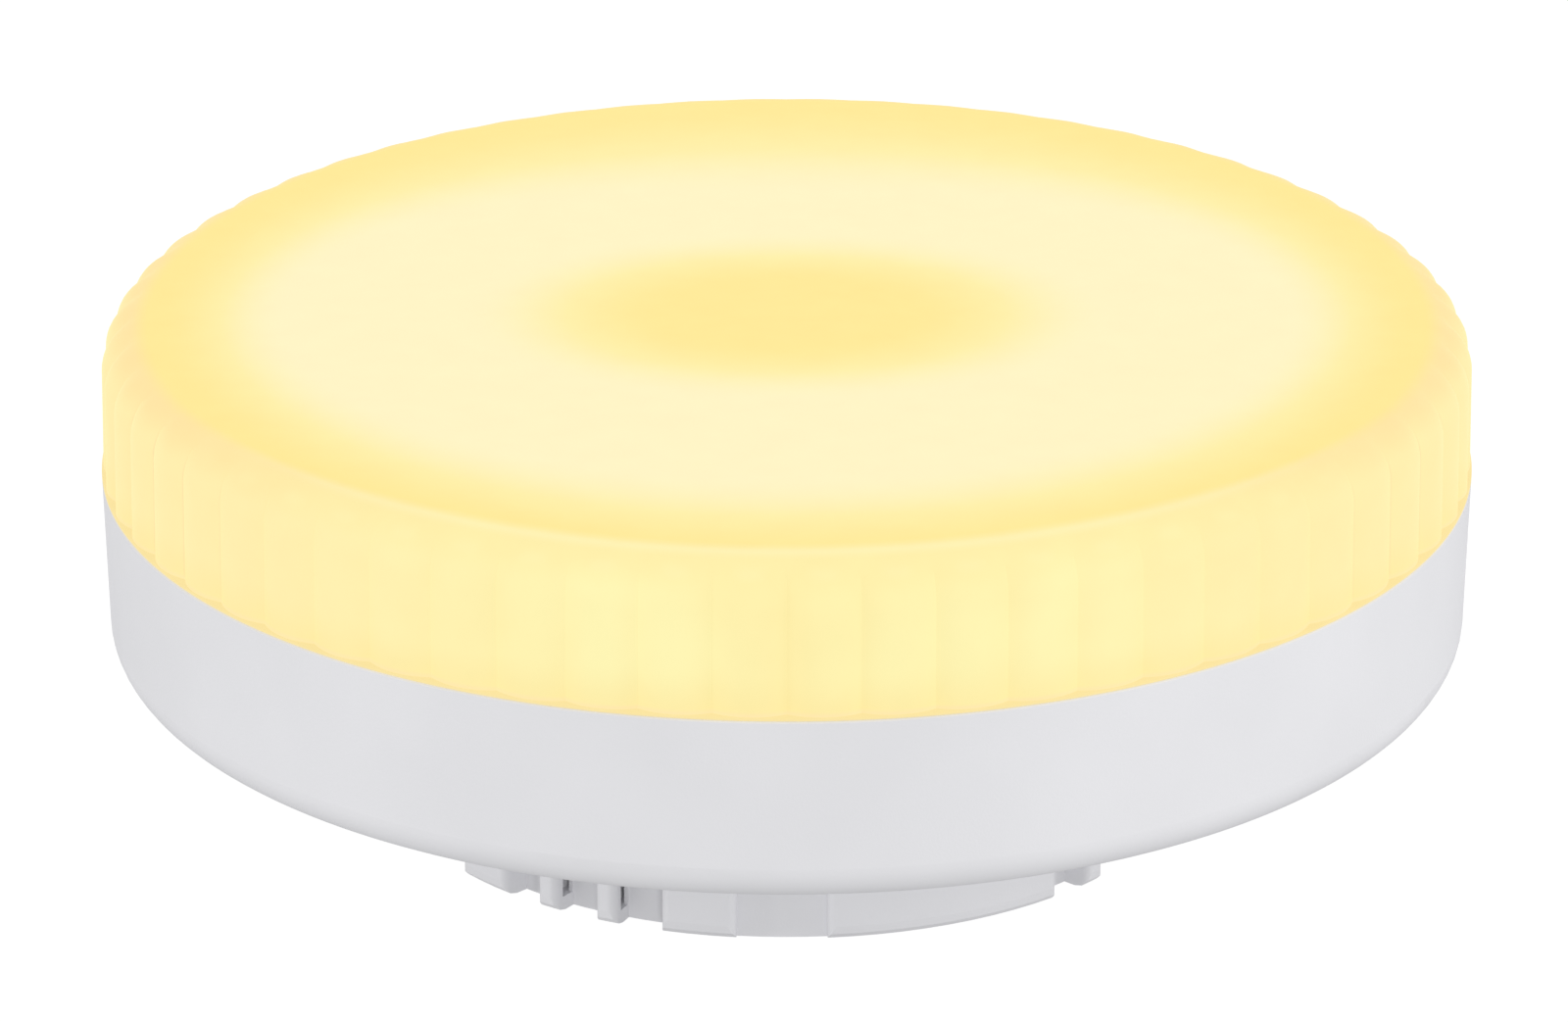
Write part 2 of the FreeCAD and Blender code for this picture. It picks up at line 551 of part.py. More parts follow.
def cut_flutes(body):
    """Each valley lies between two convex arcs that meet in a sharp line. It is cut once, where
    the -Y axis meets the wall, and repeated all round."""
    depth = value("arc_crest_radius - valley_radius")
    half = math.radians(value("flute_half_angle"))
    crest = value("arc_crest_radius")
    valley = value("valley_radius")
    sketch = new_sketch(body, "flute_valley", level="joint_level + cover_flange")
    crest_left = FreeCAD.Vector(-crest * math.sin(half), -crest * math.cos(half), 0)
    crest_right = FreeCAD.Vector(crest * math.sin(half), -crest * math.cos(half), 0)
    bottom = FreeCAD.Vector(0, -valley, 0)
    tip = FreeCAD.Vector(0, -crest - 3 * depth, 0)
    centre_left, arc_left = flute_arc(crest_left, bottom, half, -1)
    centre_right, arc_right = flute_arc(crest_right, bottom, half, 1)
    left = sketch.addGeometry(arc_left, False)
    right = sketch.addGeometry(arc_right, False)
    side_left = sketch.addGeometry(Part.LineSegment(crest_left, tip), False)
    side_right = sketch.addGeometry(Part.LineSegment(tip, crest_right), False)
    ends = {}
    for arc in (left, right):
        for end in (1, 2):
            spot = sketch.getPoint(arc, end)
            ends[(arc, "bottom" if abs(spot.x) < 1e-6 else "crest")] = end
    join = Sketcher.Constraint
    sketch.addConstraint(join("Coincident", left, ends[(left, "bottom")],
                              right, ends[(right, "bottom")]))
    sketch.addConstraint(join("Coincident", side_left, 1, left, ends[(left, "crest")]))
    sketch.addConstraint(join("Coincident", side_left, 2, side_right, 1))
    sketch.addConstraint(join("Coincident", side_right, 2, right, ends[(right, "crest")]))
    sketch.addConstraint(join("PointOnObject", left, ends[(left, "bottom")], -2))
    sketch.addConstraint(join("PointOnObject", side_left, 2, -2))
    across = "arc_crest_radius * sin(flute_half_angle * 1 deg)"
    along = "-arc_crest_radius * cos(flute_half_angle * 1 deg)"
    tie(sketch, "DistanceY", (-1, 1, left, ends[(left, "bottom")]), "-valley_radius", "valley")
    tie(sketch, "DistanceY", (-1, 1, side_left, 2),
        "-arc_crest_radius - 3 * (arc_crest_radius - valley_radius)", "tip")
    tie(sketch, "DistanceX", (-1, 1, left, ends[(left, "crest")]), "-" + across, "left_across")
    tie(sketch, "DistanceY", (-1, 1, left, ends[(left, "crest")]), along, "left_along")
    tie(sketch, "DistanceX", (-1, 1, right, ends[(right, "crest")]), across, "right_across")
    tie(sketch, "DistanceY", (-1, 1, right, ends[(right, "crest")]), along, "right_along")
    for name, arc, centre in (("left_bend", left, centre_left), ("right_bend", right, centre_right)):
        bend = (crest_left - centre_left).Length
        index = sketch.addConstraint(join("Radius", arc, bend))
        sketch.renameConstraint(index, name)
        sketch.setExpression("Constraints." + name, bind(FLUTE_BEND))
    valley_cut = sweep_cut(body, sketch, flute_path(body), "flute")
    turn_copies(body, "flutes", [valley_cut], "flute_count")


FLUTE_BEND_STEPS = 3


def flute_path(body):
    """The line of a valley: up the wall, then in over the rounded edge. The bend is stepped,
    so that its faces stay plain, and each step touches the true bend."""
    corners = [("-valley_radius", "joint_level + cover_flange")]
    half_step = f"flute_sweep / {2 * FLUTE_BEND_STEPS}"
    for step in range(FLUTE_BEND_STEPS):
        turned = f"({2 * step + 1} * {half_step} * 1 deg)"
        reach = f"flute_bend / cos({half_step} * 1 deg)"
        corners.append((f"-flute_bend_centre - {reach} * cos{turned}",
                        f"flute_bend_level + {reach} * sin{turned}"))
    corners.append(("-flute_bend_centre - flute_bend * cos(flute_sweep * 1 deg)",
                    "flute_bend_level + flute_bend * sin(flute_sweep * 1 deg)"))
    sketch = new_sketch(body, "flute_path", "YZ_Plane")
    lines = []
    for start, end in zip(corners, corners[1:]):
        spots = [FreeCAD.Vector(value(across), value(along), 0) for across, along in (start, end)]
        lines.append(sketch.addGeometry(Part.LineSegment(*spots), False))
        tie_point(sketch, lines[-1], 1, start, f"corner{len(lines)}")
        if len(lines) > 1:
            sketch.addConstraint(Sketcher.Constraint("Coincident", lines[-2], 2, lines[-1], 1))
    tie_point(sketch, lines[-1], 2, corners[-1], "end")
    return sketch


def sweep_cut(body, sketch, path, name):
    """A cut of the sketch along a path with mitred corners; it has to take material away."""
    before = body.Shape.Volume
    feature = body.newObject("PartDesign::SubtractivePipe", name)
    feature.Profile = sketch
    feature.Spine = (path, [])
    feature.Transition = "Right corner"
    doc.recompute()
    if body.Shape.Volume > before - 1e-6:
        raise RuntimeError(f"sweep {name} cuts nothing")
    return feature


# A flute's arc is square to the radius at its crest and passes through the valley beside it.
FLUTE_BEND = ("((arc_crest_radius * sin(flute_half_angle * 1 deg)) ^ 2"
              " + (arc_crest_radius * cos(flute_half_angle * 1 deg) - valley_radius) ^ 2)"
              " / (2 * (arc_crest_radius - valley_radius * cos(flute_half_angle * 1 deg)))")


def flute_arc(crest, bottom, half, side):
    """The arc of one flute from its crest down to the valley, and its centre."""
    bend = value(FLUTE_BEND)
    outwards = FreeCAD.Vector(side * math.sin(half), -math.cos(half), 0)
    centre = crest - outwards * bend
    to_crest = math.atan2(crest.y - centre.y, crest.x - centre.x)
    to_bottom = math.atan2(bottom.y - centre.y, bottom.x - centre.x)
    circle = Part.Circle(centre, UP, bend)
    return centre, Part.ArcOfCircle(circle, min(to_crest, to_bottom), max(to_crest, to_bottom))


# Contact pins are turned parts: head, neck, collar, shank and an end upset over the boss.
def make_contact_pin(label, x):
    body = doc.addObject("PartDesign::Body", label)
    collar = "pin_projection - pin_collar_rise"
    revolve(body, label + "_turned", [
        ("0", "0"),
        ("pin_head_diameter / 2", "0"),
        ("pin_head_diameter / 2", "pin_head_rise"),
        ("pin_neck_diameter / 2", "pin_head_rise"),
        ("pin_neck_diameter / 2", collar),
        ("pin_collar_diameter / 2", collar),
        ("pin_collar_diameter / 2", "pin_projection"),
        ("pin_shank_diameter / 2", "pin_projection"),
        ("pin_shank_diameter / 2", "pin_projection + pin_boss_level - underside"),
        ("pin_upset_diameter / 2", "pin_projection + pin_boss_level - underside"),
        ("pin_upset_diameter / 2", "pin_projection + pin_top_level - underside"),
        ("0", "pin_projection + pin_top_level - underside"),
    ])
    round_edges(body, label + "_head_bevel", "pin_head_rise / 5",
                on_circle("pin_head_diameter / 2", "0"), "PartDesign::Chamfer")
    place(body, x=x, z="underside - pin_projection")
    return name_piece(body, label)


# The heat spreader is a pressed aluminium disc with a turned-down rim.
def make_heat_spreader():
    body = doc.addObject("PartDesign::Body", "HeatSpreader")
    inside = "spreader_radius - spreader_thickness"
    revolve(body, "spreader_disc", [
        ("wire_hole_diameter / 2", "spreader_seat"),
        (inside, "spreader_seat"),
        (inside, "spreader_seat - spreader_rim"),
        ("spreader_radius", "spreader_seat - spreader_rim"),
        ("spreader_radius", "led_board_seat"),
        ("wire_hole_diameter / 2", "led_board_seat"),
    ])
    round_edges(body, "bend_round", "spreader_bend",
                on_circle("spreader_radius", "led_board_seat"))
    cut_screw_holes(body, "spreader", "spreader_seat - spreader_rim")
    return name_piece(body, "heat_spreader")


def cut_screw_holes(body, name, level):
    """Clearance holes for the board screws."""
    sketch = new_sketch(body, name + "_screw_hole_outline", level=level)
    draw_circle(sketch, "screw_diameter / 2 + 4 * fit_clearance", "0", "screw_radius")
    hole = cut_pocket(body, sketch, name + "_screw_hole", "2 * spreader_rim")
    turn_copies(body, name + "_screw_holes", [hole], "screw_count")


# The led board is a flat aluminium-core disc with holes for the screws and the leads.
def make_led_board():
    body = doc.addObject("PartDesign::Body", "LedBoard")
    revolve(body, "led_disc", [
        ("wire_hole_diameter / 2", "led_board_seat"),
        ("led_board_radius", "led_board_seat"),
        ("led_board_radius", "led_board_face"),
        ("wire_hole_diameter / 2", "led_board_face"),
    ])
    cut_screw_holes(body, "led_board", "led_board_seat - spreader_thickness")
    return name_piece(body, "led_board")


def box_solid(length, width, rise, centre, angle):
    """A box standing on its centre point, its length square to the ray from the axis."""
    solid = Part.makeBox(length, width, rise, FreeCAD.Vector(-length / 2, -width / 2, 0))
    solid.rotate(FreeCAD.Vector(), UP, angle)
    solid.translate(centre)
    return solid


def spots_on_circle(count, radius, level, start):
    """Evenly spaced points on a circle, each with the turn that a piece there takes."""
    for number in range(count):
        azimuth = start + 360.0 * number / count
        ray = math.radians(azimuth - 90)
        spot = FreeCAD.Vector(radius * math.cos(ray), radius * math.sin(ray), level)
        yield spot, azimuth


# The led packages are one ring of like pieces, and so are their phosphor fills.
def make_leds():
    count = int(value("led_count"))
    radius = value("led_radius")
    face = value("led_board_face")
    length = value("led_length")
    width = value("led_width")
    rise = value("led_rise")
    rim = value("led_rim")
    depth = value("phosphor_depth")
    frames = []
    fills = []
    half_step = 180 / count
    for spot, angle in spots_on_circle(count, radius, face, half_step):
        lift = FreeCAD.Vector(0, 0, rise - depth)
        fill = box_solid(length - 2 * rim, width - 2 * rim, depth, spot + lift, angle)
        fills.append(fill)
        frames.append(box_solid(length, width, rise, spot, angle).cut(fill))
    for label, solids in (("led_packages", frames), ("led_phosphor", fills)):
        piece = doc.addObject("Part::Feature", label)
        piece.Shape = Part.makeCompound(solids)
        name_piece(piece, label)


# Three pan-head screws hold the led board and the heat spreader down on their bosses.
def make_board_screws():
    radius = value("screw_radius")
    count = int(value("screw_count"))
    face = value("led_board_face")
    shank = value("screw_diameter / 2")
    head = value("screw_head_diameter / 2")
    rise = value("screw_head_rise")
    length = value("screw_length")
    screws = []
    for spot, angle in spots_on_circle(count, radius, face, BACK):
        tool = Part.makeCylinder(head, rise, spot)
        top_edge = [edge for edge in tool.Edges if edge.CenterOfMass.z > face + rise - 1e-6]
        tool = tool.makeChamfer(rise / 3, top_edge)
        slot_spot = spot + FreeCAD.Vector(0, 0, rise / 2)
        slot = box_solid(1.3 * head, head / 4, rise, slot_spot, angle)
        cross = box_solid(head / 4, 1.3 * head, rise, slot_spot, angle)
        rod = Part.makeCylinder(shank, length, spot, -UP)
        screws.append(tool.cut(slot).cut(cross).fuse(rod).removeSplitter())
    piece = doc.addObject("Part::Feature", "board_screws")
    piece.Shape = Part.makeCompound(screws)
    name_piece(piece, "board_screws")


# The driver board is a plain disc on three posts in the hub.
def make_driver_board():
    disc = doc.addObject("Part::Cylinder", "driver_board")
    disc.setExpression("Radius", bind("driver_board_radius"))
    disc.setExpression("Height", bind("driver_board_thickness"))
    place(disc, z="post_level")
    name_piece(disc, "driver_board")


def make_can(label, diameter, length, x, y, lying=False):
    """An electrolytic can with the crimp groove near its sealed end. It stands, or lies flat."""
    body = doc.addObject("PartDesign::Body", label)
    radius = f"{diameter} / 2"
    revolve(body, label + "_drawn", [
        ("0", "0"),
        (radius, "0"),
        (radius, f"{length} * 0.12"),
        (f"{radius} * 0.9", f"{length} * 0.16"),
        (radius, f"{length} * 0.2"),
        (radius, length),
        ("0", length),
    ])
    round_edges(body, label + "_bevel", f"{radius} * 0.12", on_circle(radius, length),
                "PartDesign::Chamfer")
    if lying:
        body.Placement.Rotation = FreeCAD.Rotation(FreeCAD.Vector(0, 1, 0), 90)
        place(body, x=x, y=y, z=f"driver_face + {radius}")
    else:
        place(body, x=x, y=y, z="driver_face")
    return name_piece(body, label)


# The inductor is a ferrite drum core with its winding between the flanges.
def make_inductor(x, y):
    body = doc.addObject("PartDesign::Body", "InductorCore")
    revolve(body, "drum", [
        ("0", "0"),
        ("core_diameter / 2", "0"),
        ("core_diameter / 2", "core_flange"),
        ("core_neck_diameter / 2", "core_flange"),
        ("core_neck_diameter / 2", "core_rise - core_flange"),
        ("core_diameter / 2", "core_rise - core_flange"),
        ("core_diameter / 2", "core_rise"),
        ("0", "core_rise"),
    ])
    place(body, x=x, y=y, z="driver_face")
    name_piece(body, "inductor_core")
    winding = doc.addObject("PartDesign::Body", "InductorWinding")
    revolve(winding, "winding_ring", [
        ("core_neck_diameter / 2 + fit_clearance", "core_flange + fit_clearance"),
        ("winding_diameter / 2", "core_flange + fit_clearance"),
        ("winding_diameter / 2", "core_rise - core_flange - fit_clearance"),
        ("core_neck_diameter / 2 + fit_clearance", "core_rise - core_flange - fit_clearance"),
    ])
    place(winding, x=x, y=y, z="driver_face")
    name_piece(winding, "inductor_winding")


def make_block(label, length, width, rise, x, y):
    """A moulded block on the driver board, centred on x and y."""
    body = doc.addObject("PartDesign::Body", label)
    sketch = new_sketch(body, label + "_outline")
    draw_outline(sketch, [
        (f"-{length} / 2", f"-{width} / 2"),
        (f"{length} / 2", f"-{width} / 2"),
        (f"{length} / 2", f"{width} / 2"),
        (f"-{length} / 2", f"{width} / 2"),
    ])
    raise_pad(body, sketch, label + "_block", rise)
    level = value(rise)
    round_edges(body, label + "_bevel", f"{rise} / 10",
                lambda edge: edge.BoundBox.ZMin > level - 1e-6, "PartDesign::Chamfer")
    place(body, x=x, y=y, z="driver_face")
    return name_piece(body, label)


def make_resistor(label, diameter, length, x, y):
    """A resistor that stands on its end, with bevelled ends."""
    body = doc.addObject("PartDesign::Body", label)
    radius = f"{diameter} / 2"
    revolve(body, label + "_turned", [
        ("0", "0"),
        (radius, "0"),
        (radius, length),
        ("0", length),
    ])
    level = value(length)
    limit = value(radius)
    round_edges(body, label + "_bevel", f"{radius} * 0.3",
                lambda edge: on_circle(limit, 0)(edge) or on_circle(limit, level)(edge),
                "PartDesign::Chamfer")
    place(body, x=x, y=y, z="driver_face")
    return name_piece(body, label)


def make_chip_resistors():
    """Chip resistors in a row in front of the suppression capacitor."""
    length = value("chip_resistor_length")
    width = value("chip_resistor_width")
    rise = value("chip_resistor_rise")
    solids = []
    step = value("chip_resistor_step")
    count = int(value("chip_resistor_count"))
    for number in range(count):
        across = step * (number - (count - 1) / 2)
        spot = FreeCAD.Vector(across, -value("small_row"), value("driver_face"))
        solids.append(box_solid(width, length, rise, spot, 0))
    piece = doc.addObject("Part::Feature", "chip_resistors")
    piece.Shape = Part.makeCompound(solids)
    name_piece(piece, "chip_resistors")


def make_lead(label, route):
    """An insulated lead: straight runs joined by tangent arcs, with a round section."""
    radius = value("lead_diameter / 2")
    edges = []
    start = route[0]
    for before, corner, after in zip(route, route[1:], route[2:]):
        incoming = before - corner
        outgoing = after - corner
        turned = math.pi - incoming.getAngle(outgoing)
        back = 0.45 * min(incoming.Length, outgoing.Length)
        bend = back / math.tan(turned / 2)
        middle = incoming.normalize() + outgoing.normalize()
        centre_line = middle.normalize()
        first = corner + incoming * back
        last = corner + outgoing * back
        halfway = corner + centre_line * (bend / math.cos(turned / 2) - bend)
        edges.append(Part.LineSegment(start, first).toShape())
        edges.append(Part.Arc(first, halfway, last).toShape())
        start = last
    edges.append(Part.LineSegment(start, route[-1]).toShape())
    path = Part.Wire(edges)
    ring = Part.Wire(Part.makeCircle(radius, route[0], route[1] - route[0]))
    tube = path.makePipeShell([ring], True, True)
    expected = math.pi * radius ** 2 * path.Length
    if abs(tube.Volume - expected) > 0.01 * expected:
        raise RuntimeError(f"{label} has the wrong volume")
    piece = doc.addObject("Part::Feature", label)
    piece.Shape = tube
    name_piece(piece, label)


def make_leads():
    """Two leads go from the contact pins to the driver board, and two from there to the leds."""
    half = value("lead_diameter / 2")
    pin = value("pin_radius")
    top = value("pin_top_level")
    driver = value("driver_face")
    seat = value("spreader_seat")
    face = value("led_board_face")
    landing = value("hub_inner_radius") - 4 * half
    crossing = (top + seat) / 2
    for label, side in (("pin_lead_left", -1), ("pin_lead_right", 1)):
        make_lead(label, [
            FreeCAD.Vector(side * pin, 0, top),
            FreeCAD.Vector(side * pin, 0, crossing),
            FreeCAD.Vector(side * landing, 0, crossing),
            FreeCAD.Vector(side * landing, 0, driver),
        ])
    row = value("led_lead_row")
    pad = value("pad_row")
    over = face + 4 * half
    for label, side in (("led_lead_positive", -1), ("led_lead_negative", 1)):
        across = side * value("led_lead_spread")
        make_lead(label, [
            FreeCAD.Vector(across, row, driver),
            FreeCAD.Vector(across, row, over),
            FreeCAD.Vector(across, -pad, over),
            FreeCAD.Vector(across, -pad, face),
        ])


make_diffuser()
make_base_housing()
make_contact_pin("contact_pin_left", "-pin_radius")
make_contact_pin("contact_pin_right", "pin_radius")
make_heat_spreader()
make_led_board()
make_leds()
make_board_screws()
make_driver_board()
make_can("input_capacitor", "input_can_diameter", "input_can_length",
         "-input_can_length / 2", "input_can_row", lying=True)
make_can("output_capacitor", "output_can_diameter", "output_can_length",
         "output_can_column", "-coil_row")
make_inductor("-core_column", "-coil_row")
make_block("suppression_capacitor", "film_length", "film_width", "film_rise", "0", "-film_row")
make_block("bridge_rectifier", "bridge_width", "bridge_length", "bridge_rise",
           "bridge_column", "bridge_row")
make_block("driver_chip", "chip_length", "chip_width", "chip_rise", "0", "-chip_row")
make_block("surge_varistor", "varistor_thickness", "varistor_diameter", "varistor_diameter",
           "-varistor_column", "varistor_row")
make_resistor("fusible_resistor", "resistor_diameter", "resistor_length",
              "resistor_column", "resistor_row")
make_chip_resistors()
make_leads()
doc.recompute()

for thing in doc.Objects:
    bad = [state for state in thing.State if state in ("Invalid", "Error")]
    if bad:
        raise RuntimeError(f"{thing.Label} is {bad}")
for piece in pieces:
    if piece.Shape.isNull() or not piece.Shape.isValid():
        raise RuntimeError(f"{piece.Label} has no valid shape")
for piece in pieces:
    piece.Shape.exportStep(f"parts/{piece.Label}.step")
    print(piece.Label, len(piece.Shape.Solids), "solids", round(piece.Shape.Volume, 2), "mm3")
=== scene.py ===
# %% [markdown]
# # A lit disc lamp in a white studio
#
# The lamp's solids are already built and come in as a fixed frame, in metres, with +Z along the
# lamp's axis and its hub standing on z = 0. This lesson gives each of them the finish of the real
# thing, puts the lamp on a white table and aims a camera at it. Nothing that comes in is moved.

# %% Load the frame
import math

import bmesh
import bpy
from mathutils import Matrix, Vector


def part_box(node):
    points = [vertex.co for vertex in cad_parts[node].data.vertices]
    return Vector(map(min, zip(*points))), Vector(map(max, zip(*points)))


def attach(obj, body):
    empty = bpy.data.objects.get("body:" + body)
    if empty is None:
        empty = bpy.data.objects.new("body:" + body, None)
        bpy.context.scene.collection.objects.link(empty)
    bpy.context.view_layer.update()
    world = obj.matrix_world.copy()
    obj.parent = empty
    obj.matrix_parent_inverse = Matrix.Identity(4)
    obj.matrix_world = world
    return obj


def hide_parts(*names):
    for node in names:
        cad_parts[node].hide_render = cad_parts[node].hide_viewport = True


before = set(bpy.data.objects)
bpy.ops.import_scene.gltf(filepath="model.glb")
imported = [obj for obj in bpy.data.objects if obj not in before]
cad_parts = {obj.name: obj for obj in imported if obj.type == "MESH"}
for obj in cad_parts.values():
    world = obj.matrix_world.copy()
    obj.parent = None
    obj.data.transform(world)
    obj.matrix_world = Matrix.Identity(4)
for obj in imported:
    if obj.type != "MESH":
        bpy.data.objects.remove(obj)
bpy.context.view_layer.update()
MM = 0.001
print("solids loaded:", len(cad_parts))

# %% [markdown]
# ## Sizes read from the frame
#
# A finish that follows a form, such as the light behind a flute, has to know where that form is.
# Every size is worked out from the boxes of the loaded solids, so that it stays true if the lamp
# changes. Only what a box can't tell, such as the number of flutes, is written here.

# %% Sizes
cover_low, cover_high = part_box("diffuser")
base_low, base_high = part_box("base_housing")
BODY_RADIUS = base_high.x
JOINT_LEVEL = base_high.z
TOP_LEVEL = cover_high.z
FLUTES = 60
print("body radius", round(BODY_RADIUS / MM, 2), "mm, top at", round(TOP_LEVEL / MM, 2), "mm")

# %% [markdown]
# ## Colours and nodes
#
# Screen colours are written as they look, in sRGB hex, and a shader calculates in linear light.
# One function converts them. Another adds a node, sets its sockets and links it, which keeps each
# material short enough to read as a recipe.

# %% Helpers for materials
def linear(hex_colour):
    """An sRGB hex colour as linear red, green, blue and alpha."""
    parts = [int(hex_colour[i:i + 2], 16) / 255 for i in (0, 2, 4)]
    light = [p / 12.92 if p <= 0.04045 else ((p + 0.055) / 1.055) ** 2.4 for p in parts]
    return (*light, 1.0)


def add(tree, kind, sockets=None, **settings):
    """Adds a node. A socket's value is a plain value, or another node's output to link."""
    node = tree.nodes.new(kind)
    for name, setting in settings.items():
        setattr(node, name, setting)
    for key, value in (sockets or {}).items():
        if isinstance(value, bpy.types.NodeSocket):
            tree.links.new(value, node.inputs[key])
        else:
            node.inputs[key].default_value = value
    return node


def new_material(name, **shader):
    """A material with its tree, its shader and the object coordinates in metres."""
    material = bpy.data.materials.new(name)
    material.use_nodes = True
    tree = material.node_tree
    principled = tree.nodes["Principled BSDF"]
    for key, value in shader.items():
        principled.inputs[key.replace("_", " ")].default_value = value
    place = add(tree, "ShaderNodeTexCoord").outputs["Object"]
    return material, tree, principled, place


def maths(tree, operation, *values):
    """The result of one sum on one, two or three values."""
    node = add(tree, "ShaderNodeMath", dict(enumerate(values)), operation=operation)
    return node.outputs[0]


def fade(tree, value, start, end):
    """Goes smoothly from 0 to 1 as the value goes from start to end."""
    node = add(tree, "ShaderNodeMapRange",
               {"Value": value, "From Min": start, "From Max": end},
               interpolation_type="SMOOTHSTEP")
    return node.outputs["Result"]


def ramp(tree, value, stops, interpolation="LINEAR"):
    """A colour for each place on a scale from 0 to 1."""
    node = add(tree, "ShaderNodeValToRGB", {"Fac": value})
    node.color_ramp.interpolation = interpolation
    elements = node.color_ramp.elements
    for number, (position, colour) in enumerate(stops):
        element = elements[number] if number < 2 else elements.new(position)
        element.position = position
        element.color = linear(colour)
    return node.outputs["Color"]


def speckle(tree, place, size_mm, detail=2.0):
    """Cloudy noise whose patches are about size_mm across."""
    node = add(tree, "ShaderNodeTexNoise",
               {"Vector": place, "Scale": 1 / (size_mm * MM), "Detail": detail})
    return node.outputs["Fac"]


def vary_roughness(tree, principled, value, least, most):
    """Lets the roughness go from least to most as the value goes from 0 to 1."""
    rough = add(tree, "ShaderNodeMapRange", {"Value": value, "To Min": least, "To Max": most})
    tree.links.new(rough.outputs["Result"], principled.inputs["Roughness"])


def bump(tree, principled, height, depth_mm):
    """A relief of the given depth on the shader's normal."""
    node = add(tree, "ShaderNodeBump",
               {"Height": height, "Distance": depth_mm * MM, "Strength": 1.0})
    tree.links.new(node.outputs["Normal"], principled.inputs["Normal"])


def dress(node_name, material):
    """Puts a material on a loaded solid, in every slot that it has."""
    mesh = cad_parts[node_name].data
    if not mesh.materials:
        mesh.materials.append(material)
    for index in range(len(mesh.materials)):
        mesh.materials[index] = material
    print(node_name, "is now", material.name)


# %% [markdown]
# ## The cover's form
#
# The real cover has 60 flutes. Each is a smooth convex lobe, and two of them meet in a sharp
# valley that runs up the wall and fades out over the rounded edge, which gives the outline its
# small scallops. The loaded solid has 58 flutes with a few plain steps each, and a wider edge.
# This piece is the same moulding in a finer form: a closed profile spun round the axis, its top
# corner rounded by a bevel, and its skin pressed in beside each valley by up to half a
# millimetre. It is made in millimetres and scaled to metres at the end.

# %% Sizes of the fluted cover, in millimetres
CREST = BODY_RADIUS / MM - 0.1
WALL_DRAFT = 0.05
FLUTE_DEPTH = 0.47
EDGE_ROUND = 2.5
FLANGE_RISE = 0.15
FLANGE_EDGE = 0.04
FACE = 1.6
SPIGOT_RADIUS = 35.8
SPIGOT_WALL = 1.2
INNER_RADIUS = SPIGOT_RADIUS
SKIN = 0.2
NEAR = 0.01
STEPS_PER_FLUTE = 8
ROUND_STEPS = 12
FLUTE_END = math.radians(80)
FLUTE_FADE = math.radians(64)
SHARP = math.radians(28)


def cover_profile():
    """The section of the cover from the axis outwards, down, inwards and back to the axis."""
    top = TOP_LEVEL / MM
    joint = JOINT_LEVEL / MM
    rim = BODY_RADIUS / MM
    return [(0, top), (CREST - WALL_DRAFT, top), (CREST, joint + FLANGE_RISE),
            (rim - FLANGE_EDGE, joint + FLANGE_RISE), (rim, joint + FLANGE_RISE - FLANGE_EDGE),
            (rim, joint + FLANGE_EDGE), (rim - FLANGE_EDGE, joint), (SPIGOT_RADIUS, joint),
            (SPIGOT_RADIUS, cover_low.z / MM), (SPIGOT_RADIUS - SPIGOT_WALL, cover_low.z / MM),
            (SPIGOT_RADIUS - SPIGOT_WALL, joint + SPIGOT_WALL),
            (INNER_RADIUS, joint + 2 * SPIGOT_WALL), (INNER_RADIUS, top - EDGE_ROUND),
            (INNER_RADIUS - EDGE_ROUND + FACE, top - FACE), (0, top - FACE)]


def round_top_corner(shape):
    """Bevels the circle where the wall meets the face into a round edge."""
    corner = [edge for edge in shape.edges if all(
        abs(vert.co.z - TOP_LEVEL / MM) < NEAR and vert.co.xy.length > CREST - SKIN
        for vert in edge.verts)]
    bmesh.ops.bevel(shape, geom=corner, offset=EDGE_ROUND, offset_type="OFFSET",
                    segments=ROUND_STEPS, profile=0.5, affect="EDGES", clamp_overlap=False,
                    material=-1)
    print("edges rounded:", len(corner))


def press_flutes(shape):
    """Moves the outer skin inwards beside each valley, less and less over the round edge."""
    centre_radius = CREST - EDGE_ROUND
    centre_level = TOP_LEVEL / MM - EDGE_ROUND
    wall_foot = JOINT_LEVEL / MM + FLANGE_RISE - NEAR
    for vert in shape.verts:
        radius = vert.co.xy.length
        over = math.atan2(max(vert.co.z - centre_level, 0.0), max(radius - centre_radius, 0.001))
        from_centre = math.hypot(radius - centre_radius, vert.co.z - centre_level)
        on_round = vert.co.z > centre_level and from_centre > EDGE_ROUND - SKIN
        on_wall = wall_foot <= vert.co.z <= centre_level and abs(radius - CREST) < SKIN
        if not on_wall and not on_round:
            continue
        flute = math.atan2(vert.co.x, -vert.co.y) * FLUTES / math.tau
        from_valley = 2 * abs(flute - round(flute))
        held = min(max((FLUTE_END - over) / (FLUTE_END - FLUTE_FADE), 0.0), 1.0)
        depth = FLUTE_DEPTH * (1 - from_valley) ** 2 * math.cos(over) * held
        outwards = vert.co.xy.normalized() * math.cos(over)
        vert.co -= depth * Vector((outwards.x, outwards.y, math.sin(over)))


